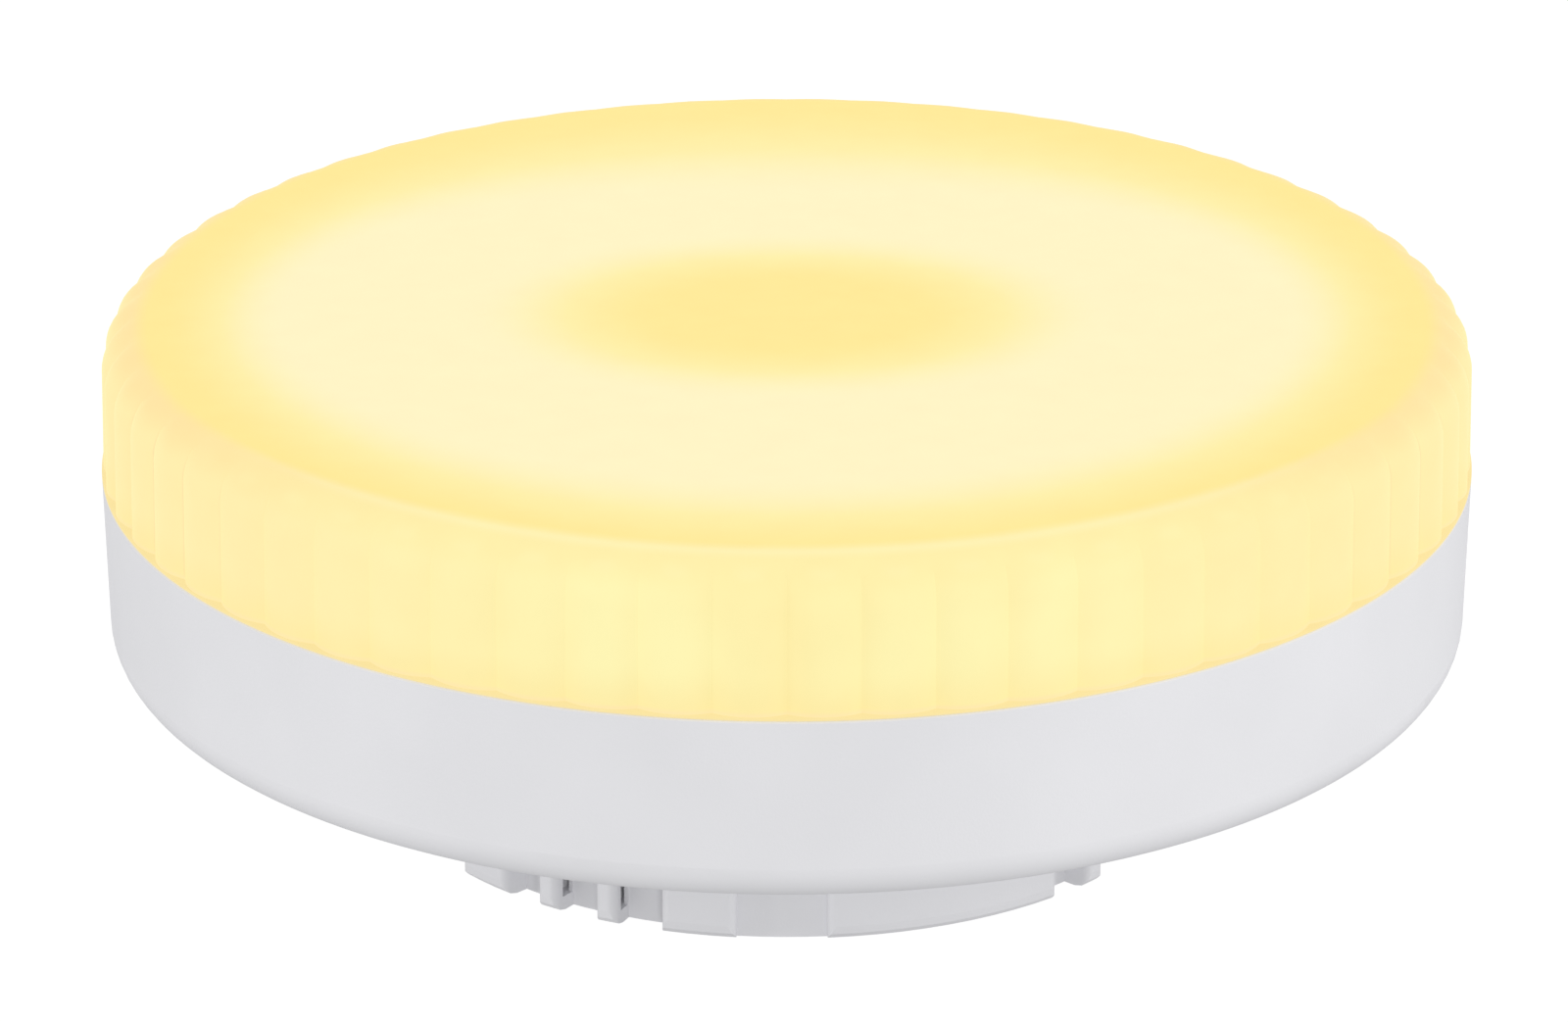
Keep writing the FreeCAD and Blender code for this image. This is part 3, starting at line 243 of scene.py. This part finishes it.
# %% Make the fluted cover
def make_fluted_cover():
    """The cover as one closed piece that rides on the lamp in place of the loaded solid."""
    shape = bmesh.new()
    ring = [shape.verts.new((radius, 0, level)) for radius, level in cover_profile()]
    chain = [shape.edges.new(pair) for pair in zip(ring, ring[1:])]
    bmesh.ops.spin(shape, geom=ring + chain, axis=(0, 0, 1), cent=(0, 0, 0),
                   angle=math.tau, steps=FLUTES * STEPS_PER_FLUTE, use_merge=True)
    bmesh.ops.remove_doubles(shape, verts=shape.verts, dist=0.001)
    round_top_corner(shape)
    press_flutes(shape)
    bmesh.ops.scale(shape, verts=shape.verts, vec=(MM, MM, MM))
    bmesh.ops.recalc_face_normals(shape, faces=shape.faces)
    for face in shape.faces:
        face.smooth = True
    for edge in shape.edges:
        edge.smooth = edge.calc_face_angle(0.0) < SHARP
    print("open edges:", sum(not edge.is_manifold for edge in shape.edges),
          "faces:", len(shape.faces))
    mesh = bpy.data.meshes.new("fluted_cover")
    shape.to_mesh(mesh)
    shape.free()
    piece = bpy.data.objects.new("fluted_cover", mesh)
    bpy.context.scene.collection.objects.link(piece)
    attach(piece, "root")
    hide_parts("diffuser")
    return piece


fluted_cover = make_fluted_cover()

# %% [markdown]
# ## The lit cover
#
# The cover is opal polycarbonate: a milky plastic, injection moulded with a matt face. Fourteen
# leds stand in a ring below it. Their light reaches the face as a wide bright ring with soft
# edges, a deeper yellow patch over the wire hole in the middle and a deeper band inside the rim.
# Real scattering would need thousands of samples and would be lost when the model is exported, so
# the light that leaves the plastic is given as emission that depends on where a point lies. The
# plastic itself still reflects the room, with a base colour that is kept low because most of what
# is seen here is its own light.

# %% Pattern of light on the flat face
GLOW_DEEP = "E6CF7B"
GLOW_MIDDLE = "E6D691"
GLOW_PALE = "E6DBB1"
PATCH_INNER = 6.5 * MM
PATCH_OUTER = 17.5 * MM
PATCH_NARROWING = 0.35
RIM_BAND = 34.2 * MM
RIM_FADE = 6.8 * MM
RIM_FADE_ACROSS = 6.2 * MM
RIM_FADE_BACK = 2.0 * MM
RIM_FRONT = 0.6 * MM


def polar(tree, place):
    """Radius, sine and cosine of the turn from the -Y side, the turn itself, and the height."""
    axes = add(tree, "ShaderNodeSeparateXYZ", {"Vector": place})
    x, y, z = axes.outputs
    flat = add(tree, "ShaderNodeCombineXYZ", {"X": x, "Y": y})
    length = add(tree, "ShaderNodeVectorMath", {0: flat.outputs[0]}, operation="LENGTH")
    radius = length.outputs["Value"]
    least = maths(tree, "MAXIMUM", radius, 0.1 * MM)
    aside = maths(tree, "DIVIDE", x, least)
    ahead = maths(tree, "DIVIDE", y, least)
    turn = maths(tree, "ARCTAN2", x, maths(tree, "MULTIPLY", y, -1.0))
    return radius, aside, ahead, turn, z


def face_light(tree, radius, ahead):
    """How pale the flat face glows: 0 is the deep yellow, 1 the pale ring over the leds."""
    # The patch and the rim band are shaped differently ahead, behind and to the sides: that
    # difference is painted light, set for a view from the front.
    squared = maths(tree, "MULTIPLY", ahead, ahead)
    stretched = maths(tree, "MULTIPLY_ADD", squared, PATCH_NARROWING, 1.0)
    reach = maths(tree, "MULTIPLY", radius, stretched)
    beyond_patch = fade(tree, reach, PATCH_INNER, PATCH_OUTER)
    width = maths(tree, "MULTIPLY_ADD", squared, RIM_FADE_ACROSS, RIM_FADE)
    tilt = maths(tree, "MULTIPLY", squared, ahead)
    width = maths(tree, "MULTIPLY_ADD", tilt, RIM_FADE_BACK, width)
    in_front = maths(tree, "SUBTRACT", squared, tilt)
    rim = maths(tree, "MULTIPLY_ADD", in_front, RIM_FRONT, RIM_BAND)
    inside = maths(tree, "DIVIDE", maths(tree, "SUBTRACT", rim, radius), width)
    inside_rim = fade(tree, inside, 0.0, 1.0)
    pale = maths(tree, "MULTIPLY", beyond_patch, inside_rim)
    return ramp(tree, pale, [(0.0, GLOW_DEEP), (1.0, GLOW_PALE), (0.5, GLOW_MIDDLE)])


# %% [markdown]
# Round the edge the pattern changes. The wall is lit from behind by stray light, so it is a warm
# yellow with faint clouds, a little deeper low down where the base shades it. Each flute's crest
# is painted paler than the valley beside it, in soft upright bands: painted light and shade of the
# flutes, as if each were a small lens. Where the wall turns away to the left and right, its colour
# changes, which is painted light, and a thin warm line of painted shade marks each valley. The
# rounded shoulder is painted pale in front and peach at the sides, with a painted highlight ring
# along its front and painted highlight spots near the top of the crests. A paler painted highlight
# runs along the foot of the wall, and the thin flange at the joint gets the least light and shows
# as a deeper line.

# %% Pattern of light on the fluted wall
GLOW_CREST = "E4DC9E"
GLOW_VALLEY = "E6D797"
GLOW_TURNED = "E6D295"
GLOW_LOW = "E3CE88"
GLOW_VALLEY_SHADE = "D7BB8B"
GLOW_SHOULDER = "E4C88A"
GLOW_BROW = "E4D593"
GLOW_PAINTED_HIGHLIGHT = "EAD99E"
GLOW_FLANGE = "DFCA8E"
GLOW_LIP_HIGHLIGHT = "E4CD97"
FLANGE_TOP = JOINT_LEVEL + FLANGE_RISE * MM
SHOULDER = 34.4 * MM
BAND_WIDTH = 0.42
LINE_WIDTH = 0.035
PATCH_MM = 7.0
CLOUD_MM = 11.0
CLOUD_AMOUNT = 0.45
LOW_AMOUNT = 0.6
VALLEY_SHADE_AMOUNT = 0.55
HIGHLIGHT_RING_AMOUNT = 0.8
SPOT_AMOUNT = 0.4
LOW_REACH = 2.6 * MM
LIP_REACH = 0.35 * MM
HIGHLIGHT_RING_REACH = 0.8 * MM
SPOT_REACH = 0.45 * MM
SPOT_LEVEL = TOP_LEVEL - 0.6 * MM
BROW_HEAD = TOP_LEVEL - 0.2 * MM
BROW_FOOT = TOP_LEVEL - 1.7 * MM
LINE_HEAD = TOP_LEVEL - 0.8 * MM
LINE_FULL = TOP_LEVEL - 2.2 * MM
EDGE_START = SHOULDER + 0.3 * MM
EDGE_FULL = SHOULDER + 1.5 * MM
EDGE_SOONER = 1.3 * MM


def blend(tree, amount, first, second):
    """A colour between two, each a hex colour or a node's output."""
    ends = [linear(end) if isinstance(end, str) else end for end in (first, second)]
    node = add(tree, "ShaderNodeMix", data_type="RGBA")
    for socket, end in zip((node.inputs[0], node.inputs[6], node.inputs[7]), (amount, *ends)):
        if isinstance(end, bpy.types.NodeSocket):
            tree.links.new(end, socket)
        else:
            socket.default_value = end
    return node.outputs[2]


def beside_valley(tree, turn):
    """How far a point lies from the nearest valley: 0 in it, 0.5 on a crest."""
    return maths(tree, "PINGPONG", maths(tree, "MULTIPLY", turn, FLUTES / math.tau), 0.5)


def flute_light_and_shade(tree, place, from_valley):
    """Painted light and shade of the flutes: paler crests and deeper valleys in soft bands,
    stronger in some patches than in others.
    """
    band = fade(tree, from_valley, BAND_WIDTH, 0.0)
    patch = fade(tree, speckle(tree, place, PATCH_MM, 1.0), 0.3, 0.7)
    band = maths(tree, "MULTIPLY", band, maths(tree, "MULTIPLY_ADD", patch, 0.35, 0.15))
    return blend(tree, band, GLOW_CREST, GLOW_VALLEY)


def painted_valley_shade(tree, from_valley, sideways, z):
    """Painted shade: a thin deeper line in each valley, only where the wall turns away and below
    the edge.
    """
    line = fade(tree, from_valley, LINE_WIDTH, 0.0)
    line = maths(tree, "MULTIPLY", line, fade(tree, sideways, 0.7, 0.95))
    below_top = fade(tree, z, LINE_HEAD, LINE_FULL)
    line = maths(tree, "MULTIPLY", line, below_top)
    return maths(tree, "MULTIPLY", line, VALLEY_SHADE_AMOUNT)


def wall_light(tree, place, aside, from_valley, z):
    """The glow of the wall, with its painted light and shade, from its crests and valleys down to
    the lip's painted highlight and the flange.
    """
    glow = flute_light_and_shade(tree, place, from_valley)
    cloud = fade(tree, speckle(tree, place, CLOUD_MM, 1.0), 0.38, 0.66)
    glow = blend(tree, maths(tree, "MULTIPLY", cloud, CLOUD_AMOUNT), glow, GLOW_LOW)
    sideways = maths(tree, "ABSOLUTE", aside)
    # Painted light: the wall takes another colour where it turns away to the left and right, set
    # for a view from the front.
    glow = blend(tree, fade(tree, sideways, 0.2, 0.85), glow, GLOW_TURNED)
    low = fade(tree, z, FLANGE_TOP + LOW_REACH, FLANGE_TOP)
    glow = blend(tree, maths(tree, "MULTIPLY", low, LOW_AMOUNT), glow, GLOW_LOW)
    glow = blend(tree, painted_valley_shade(tree, from_valley, sideways, z), glow, GLOW_VALLEY_SHADE)
    # Painted highlight: a paler line along the foot of the wall, just above the flange.
    lip_highlight = fade(tree, z, FLANGE_TOP + LIP_REACH, FLANGE_TOP + 0.05 * MM)
    glow = blend(tree, lip_highlight, glow, GLOW_LIP_HIGHLIGHT)
    flange = fade(tree, z, FLANGE_TOP + 0.03 * MM, FLANGE_TOP + 0.005 * MM)
    return blend(tree, flange, glow, GLOW_FLANGE)


def shoulder_light(tree, from_valley, in_front, radius, z, wall):
    """The glow of the rounded edge over that of the wall below it: painted pale in front and peach
    at the sides, with a painted highlight ring along the front.
    """
    # Painted highlight: a pale ring round the shoulder, shown in front only.
    ring = maths(tree, "ABSOLUTE", maths(tree, "SUBTRACT", radius, SHOULDER + 0.4 * MM))
    ring = maths(tree, "MULTIPLY", fade(tree, ring, HIGHLIGHT_RING_REACH, 0.0), HIGHLIGHT_RING_AMOUNT)
    shine = blend(tree, ring, GLOW_BROW, GLOW_PAINTED_HIGHLIGHT)
    # Painted light: the shoulder is pale in front and peach at the sides, set for a view from the
    # front.
    shoulder = blend(tree, in_front, GLOW_SHOULDER, shine)
    on_edge = fade(tree, z, BROW_FOOT, BROW_HEAD)
    glow = blend(tree, on_edge, wall, shoulder)
    # Painted highlight: small bright spots near the top of each crest, in front only.
    spot_height = maths(tree, "ABSOLUTE", maths(tree, "SUBTRACT", z, SPOT_LEVEL))
    highlight_spot = maths(tree, "MULTIPLY", fade(tree, spot_height, SPOT_REACH, 0.0),
                 fade(tree, from_valley, 0.2, 0.45))
    highlight_spot = maths(tree, "MULTIPLY", highlight_spot, maths(tree, "MULTIPLY", in_front, SPOT_AMOUNT))
    return blend(tree, highlight_spot, glow, GLOW_PAINTED_HIGHLIGHT)


# %% The cover's material
def opal_cover():
    """Milky plastic that shines by the patterns above and reflects a little of the room."""
    material, tree, principled, place = new_material(
        "opal_polycarbonate_lit", Roughness=0.6, IOR=1.58, Specular_IOR_Level=0.08)
    radius, aside, ahead, turn, z = polar(tree, place)
    face = face_light(tree, radius, ahead)
    from_valley = beside_valley(tree, turn)
    # in_front is 1 on the side towards -Y. The edge colour starts sooner there and the shoulder
    # changes colour there: painted light, set for a view from the front.
    in_front = fade(tree, ahead, -0.35, -0.95)
    wall = wall_light(tree, place, aside, from_valley, z)
    edge = shoulder_light(tree, from_valley, in_front, radius, z, wall)
    sooner = maths(tree, "MULTIPLY", in_front, EDGE_SOONER)
    reach = maths(tree, "ADD", radius, sooner)
    past_face = fade(tree, reach, EDGE_START, EDGE_FULL)
    light = blend(tree, past_face, face, edge)
    tree.links.new(light, principled.inputs["Emission Color"])
    principled.inputs["Emission Strength"].default_value = 1.0
    body = ramp(tree, speckle(tree, place, 2.5), [(0.3, "7F7A5E"), (0.7, "837E62")])
    tree.links.new(body, principled.inputs["Base Color"])
    vary_roughness(tree, principled, speckle(tree, place, 1.2), 0.56, 0.64)
    bump(tree, principled, speckle(tree, place, 0.25), 0.004)
    material.cycles.emission_sampling = "NONE"
    return material


lit_opal = opal_cover()
dress("diffuser", lit_opal)
fluted_cover.data.materials.append(lit_opal)


# %% [markdown]
# ## The moulded base
#
# The base is a light grey polyester, injection moulded in a tool with a fine spark-eroded face.
# That leaves no gloss, a grain of about a tenth of a millimetre and very slight clouding where
# the melt cooled unevenly. All three are weak, as on the real moulding.

# %% The base's material
def base_plastic():
    """Spark-eroded polyester: matt, with a fine grain and slight clouds."""
    material, tree, principled, place = new_material(
        "polyester_moulded_grey", Roughness=0.8, IOR=1.5, Specular_IOR_Level=0.02)
    clouds = speckle(tree, place, 9.0)
    colour = ramp(tree, clouds, [(0.25, "E1E1E4"), (0.75, "E5E5E8")])
    tree.links.new(colour, principled.inputs["Base Color"])
    vary_roughness(tree, principled, speckle(tree, place, 1.5), 0.76, 0.86)
    bump(tree, principled, speckle(tree, place, 0.15), 0.006)
    return material


dress("base_housing", base_plastic())


# %% [markdown]
# ## The contact pins
#
# The pins are turned from brass bar and nickel plated. Turning leaves fine rings, which show as
# brushed streaks round the axis of each pin, and the plating gives a warm pale metal.

# %% The pins' material
RING_STEP = 0.24 * MM


def nickel_plated(name, centre_x):
    """Turned brass under nickel, with fine rings along a pin whose axis is at centre_x."""
    material, tree, principled, place = new_material(name, Metallic=1.0, Roughness=0.24)
    centred = add(tree, "ShaderNodeMapping", {"Vector": place, "Location": (-centre_x, 0, 0)})
    rings = add(tree, "ShaderNodeTexWave", {
        "Vector": centred.outputs[0], "Scale": 1 / RING_STEP / math.pi, "Distortion": 0.6},
        wave_type="BANDS", bands_direction="Z")
    tint = ramp(tree, speckle(tree, place, 1.0), [(0.3, "C9C4B8"), (0.7, "D6D1C6")])
    tree.links.new(tint, principled.inputs["Base Color"])
    vary_roughness(tree, principled, rings.outputs["Fac"], 0.2, 0.32)
    bump(tree, principled, rings.outputs["Fac"], 0.004)
    return material


for side in ("left", "right"):
    low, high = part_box(f"contact_pin_{side}")
    finish = nickel_plated(f"brass_turned_nickel_plated_{side}", (low.x + high.x) / 2)
    dress(f"contact_pin_{side}", finish)


# %% [markdown]
# ## What is inside
#
# The pieces inside don't show while the lamp is closed, but they are part of the model and are
# seen when it is opened up. Each gets the finish of its real stuff. Most of them are a plain
# surface with one kind of pattern, so one recipe takes a pair of colours, a grain size and a
# roughness, and the special ones get a recipe of their own.

# %% Plain inner finishes
PLAIN_FINISHES = [
    ("heat_spreader", "aluminium_pressed", "C6C8CA", "D2D3D5", 0.6, 0.38, 1.0),
    ("board_screws", "steel_zinc_plated", "B4B8BC", "C8CBD0", 0.4, 0.3, 1.0),
    ("led_packages", "white_moulded_package", "F0EEE6", "F6F4EE", 0.5, 0.35, 0.0),
    ("input_capacitor", "shrunk_sleeve_dark_blue", "161B30", "1C2240", 1.2, 0.3, 0.0),
    ("output_capacitor", "shrunk_sleeve_black", "17181C", "202127", 1.2, 0.32, 0.0),
    ("inductor_core", "ferrite_sintered", "2A2A2D", "35353A", 0.3, 0.7, 0.0),
    ("suppression_capacitor", "film_capacitor_case_moulded", "D9A42A", "E2AF37", 1.5, 0.35, 0.0),
    ("bridge_rectifier", "black_epoxy_moulded_bridge", "1B1B1D", "242426", 0.2, 0.6, 0.0),
    ("driver_chip", "black_epoxy_moulded_chip", "19191B", "222225", 0.2, 0.55, 0.0),
    ("surge_varistor", "epoxy_dipped_blue", "1F4F8F", "2A5C9E", 0.8, 0.4, 0.0),
    ("chip_resistors", "glazed_black_film", "111214", "1A1B1E", 0.4, 0.25, 0.0),
    ("pin_lead_left", "silicone_lead_white_left", "E4E4E2", "ECECEA", 0.5, 0.5, 0.0),
    ("pin_lead_right", "silicone_lead_white_right", "E4E4E2", "ECECEA", 0.5, 0.5, 0.0),
    ("led_lead_positive", "silicone_lead_red", "B0221C", "BE2C24", 0.5, 0.5, 0.0),
    ("led_lead_negative", "silicone_lead_black", "202022", "2A2A2D", 0.5, 0.5, 0.0),
]


def plain_finish(name, dark, light, grain_mm, roughness, metallic):
    """Two close colours in cloudy patches, with a matching change of roughness and relief."""
    material, tree, principled, place = new_material(
        name, Roughness=roughness, Metallic=metallic)
    grain = speckle(tree, place, grain_mm)
    tree.links.new(ramp(tree, grain, [(0.3, dark), (0.7, light)]), principled.inputs["Base Color"])
    vary_roughness(tree, principled, grain, roughness - 0.05, roughness + 0.08)
    bump(tree, principled, grain, grain_mm / 50)
    return material


for node_name, name, dark, light, grain_mm, roughness, metallic in PLAIN_FINISHES:
    dress(node_name, plain_finish(name, dark, light, grain_mm, roughness, metallic))

# %% [markdown]
# ### Boards, phosphor, wire and bands
#
# The led board carries a white solder mask over a ring of copper tracks, which print through as
# a faint relief. The driver board is a green mask with tracks that run in squares. Phosphor is
# silicone filled with yellow powder, and it shines. The winding is enamelled wire, laid in turns
# a quarter of a millimetre apart, and the resistor carries four painted bands.

# %% The led board
TRACK_STEP = 2.2 * MM


def led_board_mask():
    """White solder mask over ring tracks, which stand out by a few hundredths."""
    material, tree, principled, place = new_material("solder_mask_white_printed", Roughness=0.3)
    radius = polar(tree, place)[0]
    wave = maths(tree, "PINGPONG", radius, TRACK_STEP)
    track = fade(tree, wave, 0.3 * TRACK_STEP, 0.36 * TRACK_STEP)
    colour = ramp(tree, track, [(0.0, "EDECE6"), (1.0, "F3F3F0")])
    tree.links.new(colour, principled.inputs["Base Color"])
    bump(tree, principled, track, 0.035)
    return material


def led_phosphor():
    """Silicone with yellow powder, lit."""
    material, tree, principled, place = new_material("phosphor_in_silicone_lit", Roughness=0.45)
    powder = ramp(tree, speckle(tree, place, 0.15), [(0.3, "F2C23E"), (0.7, "FAD25A")])
    tree.links.new(powder, principled.inputs["Base Color"])
    tree.links.new(powder, principled.inputs["Emission Color"])
    principled.inputs["Emission Strength"].default_value = 2.0
    material.cycles.emission_sampling = "NONE"
    return material


dress("led_board", led_board_mask())
dress("led_phosphor", led_phosphor())

# %% The driver board, the winding and the resistor
LAMINATE_TRACK = 1.9 * MM
WIRE_STEP = 0.25 * MM
COATING = "6E8F86"
BAND_COLOURS = [(0.0, COATING), (0.2, "5A3A22"), (0.3, COATING), (0.4, "16171A"),
                (0.5, COATING), (0.6, "B5241C"), (0.7, COATING), (0.82, "C9A23A"),
                (0.92, COATING)]


def driver_laminate():
    """Green solder mask over tracks in squares."""
    material, tree, principled, place = new_material("glass_laminate_green_mask", Roughness=0.32)
    tracks = add(tree, "ShaderNodeTexBrick", {
        "Vector": place, "Scale": 1 / (4 * LAMINATE_TRACK), "Mortar Size": 0.03,
        "Color1": linear("1F6B38"), "Color2": linear("237540"), "Mortar": linear("164F2A")})
    tree.links.new(tracks.outputs["Color"], principled.inputs["Base Color"])
    bump(tree, principled, tracks.outputs["Fac"], 0.035)
    return material


def enamelled_wire():
    """Copper wire in close turns under clear enamel."""
    material, tree, principled, place = new_material(
        "copper_wire_enamelled", Metallic=1.0, Roughness=0.28, Coat_Weight=0.6)
    axes = add(tree, "ShaderNodeSeparateXYZ", {"Vector": place})
    turns = maths(tree, "PINGPONG", axes.outputs["Z"], WIRE_STEP / 2)
    height = maths(tree, "DIVIDE", turns, WIRE_STEP / 2)
    tree.links.new(ramp(tree, height, [(0.0, "5E2A12"), (0.6, "B4622E")]),
                   principled.inputs["Base Color"])
    bump(tree, principled, height, 0.1)
    return material


def banded_resistor():
    """A dipped coating with four painted bands along the resistor's height."""
    material, tree, principled, place = new_material("resistor_dipped_banded", Roughness=0.4)
    low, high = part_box("fusible_resistor")
    axes = add(tree, "ShaderNodeSeparateXYZ", {"Vector": place})
    along = add(tree, "ShaderNodeMapRange", {
        "Value": axes.outputs["Z"], "From Min": low.z, "From Max": high.z})
    colour = ramp(tree, along.outputs["Result"], BAND_COLOURS, "CONSTANT")
    tree.links.new(colour, principled.inputs["Base Color"])
    bump(tree, principled, speckle(tree, place, 0.6), 0.01)
    return material


dress("driver_board", driver_laminate())
dress("inductor_winding", enamelled_wire())
dress("fusible_resistor", banded_resistor())

# %% [markdown]
# ## Table and room
#
# Catalogue pictures of such lamps are taken on a white table that is lit from below, so that the
# floor stays white and only a faint shadow is left. The floor here scatters a little light, gives
# an even light of its own and is lifted to white for the eye alone, so that it doesn't wash out
# the shade under the lamp. It is open to a view from underneath, so that the hub can be looked
# at. The room is plain white, with one softbox high on the right and three low ones round the
# front, which reach the hub under the base.

# %% Floor
FLOOR_SIZE = 4.0
FLOOR_DROP = 0.02 * MM
FLOOR_GREY = 0.12
FLOOR_GLOW = 0.42
FLOOR_LIFT = 0.53


def seen_directly(tree):
    """1 for rays from the camera and for those that gloss or clear plastic passes on."""
    path = add(tree, "ShaderNodeLightPath").outputs
    seen = maths(tree, "MAXIMUM", path["Is Camera Ray"], path["Is Glossy Ray"])
    return maths(tree, "MAXIMUM", seen, path["Is Transmission Ray"])


def floor_finish():
    """A matt white table that shines a little and is clear from its underside."""
    material, tree, principled, _ = new_material(
        "matte_white_table", Roughness=0.9, Specular_IOR_Level=0.0)
    principled.inputs["Base Color"].default_value = (FLOOR_GREY, FLOOR_GREY, FLOOR_GREY, 1.0)
    principled.inputs["Emission Color"].default_value = (1.0, 1.0, 1.0, 1.0)
    glow = maths(tree, "MULTIPLY_ADD", seen_directly(tree), FLOOR_LIFT, FLOOR_GLOW)
    tree.links.new(glow, principled.inputs["Emission Strength"])
    side = add(tree, "ShaderNodeNewGeometry").outputs["Backfacing"]
    clear = add(tree, "ShaderNodeBsdfTransparent")
    mixed = add(tree, "ShaderNodeMixShader", {
        0: side, 1: principled.outputs["BSDF"], 2: clear.outputs["BSDF"]})
    tree.links.new(mixed.outputs[0], tree.nodes["Material Output"].inputs["Surface"])
    material.cycles.emission_sampling = "NONE"
    return material


def make_floor():
    """A wide square just under the lamp's hub."""
    shape = bmesh.new()
    bmesh.ops.create_grid(shape, x_segments=1, y_segments=1, size=FLOOR_SIZE / 2)
    bmesh.ops.translate(shape, verts=shape.verts, vec=(0, 0, base_low.z - FLOOR_DROP))
    mesh = bpy.data.meshes.new("table")
    shape.to_mesh(mesh)
    shape.free()
    mesh.materials.append(floor_finish())
    floor = bpy.data.objects.new("table", mesh)
    bpy.context.scene.collection.objects.link(floor)
    print("table at", round(floor.data.vertices[0].co.z / MM, 2), "mm")


make_floor()

# %% Room light
ROOM_LIGHT = 0.82


def light_room():
    """An even white room. The camera, gloss and glass see it as plain white."""
    world = bpy.data.worlds.new("white_room")
    world.use_nodes = True
    tree = world.node_tree
    strength = maths(tree, "MULTIPLY_ADD", seen_directly(tree), 1.0 - ROOM_LIGHT, ROOM_LIGHT)
    background = tree.nodes["Background"]
    background.inputs["Color"].default_value = (1.0, 1.0, 1.0, 1.0)
    tree.links.new(strength, background.inputs["Strength"])
    bpy.context.scene.world = world


def add_softbox(name, place_mm, size_mm, watts):
    """A square soft light that points at the middle of the lamp."""
    light = bpy.data.lights.new(name, "AREA")
    light.size = size_mm * MM
    light.energy = watts
    lamp = bpy.data.objects.new(name, light)
    lamp.location = Vector(place_mm) * MM
    aim = Vector((0, 0, TOP_LEVEL / 2)) - lamp.location
    lamp.rotation_euler = aim.to_track_quat("-Z", "Y").to_euler()
    bpy.context.scene.collection.objects.link(lamp)
    print(name, "gives", watts, "W")


light_room()
add_softbox("key_softbox", (420, -260, 420), 400, 0.35)
add_softbox("front_softbox", (60, -560, 48), 90, 0.53)
add_softbox("left_softbox", (-500, -135, 48), 90, 0.54)
add_softbox("right_softbox", (500, -135, 48), 90, 0.46)

# %% [markdown]
# ## Camera
#
# The picture was taken from a good distance with a long lens: the rim on the far side is only a
# little smaller than the near one. The camera stands 550 mm away, almost 22 degrees above the
# table, and looks along +Y.

# %% Camera
VIEW_DISTANCE = 550 * MM
VIEW_RISE = math.radians(21.75)
LENS_MM = 229.7
AIM = Vector((-0.153, 0.0, 16.1)) * MM

camera_data = bpy.data.cameras.new("studio_camera")
camera_data.sensor_width = 36.0
camera_data.lens = LENS_MM
camera_data.clip_start = 0.01
camera = bpy.data.objects.new("studio_camera", camera_data)
camera.location = AIM + VIEW_DISTANCE * Vector((0, -math.cos(VIEW_RISE), math.sin(VIEW_RISE)))
camera.rotation_euler = (math.pi / 2 - VIEW_RISE, 0, 0)
bpy.context.scene.collection.objects.link(camera)
bpy.context.scene.camera = camera
bpy.context.scene.view_settings.view_transform = "Standard"
print("camera at", [round(part / MM) for part in camera.location], "mm")
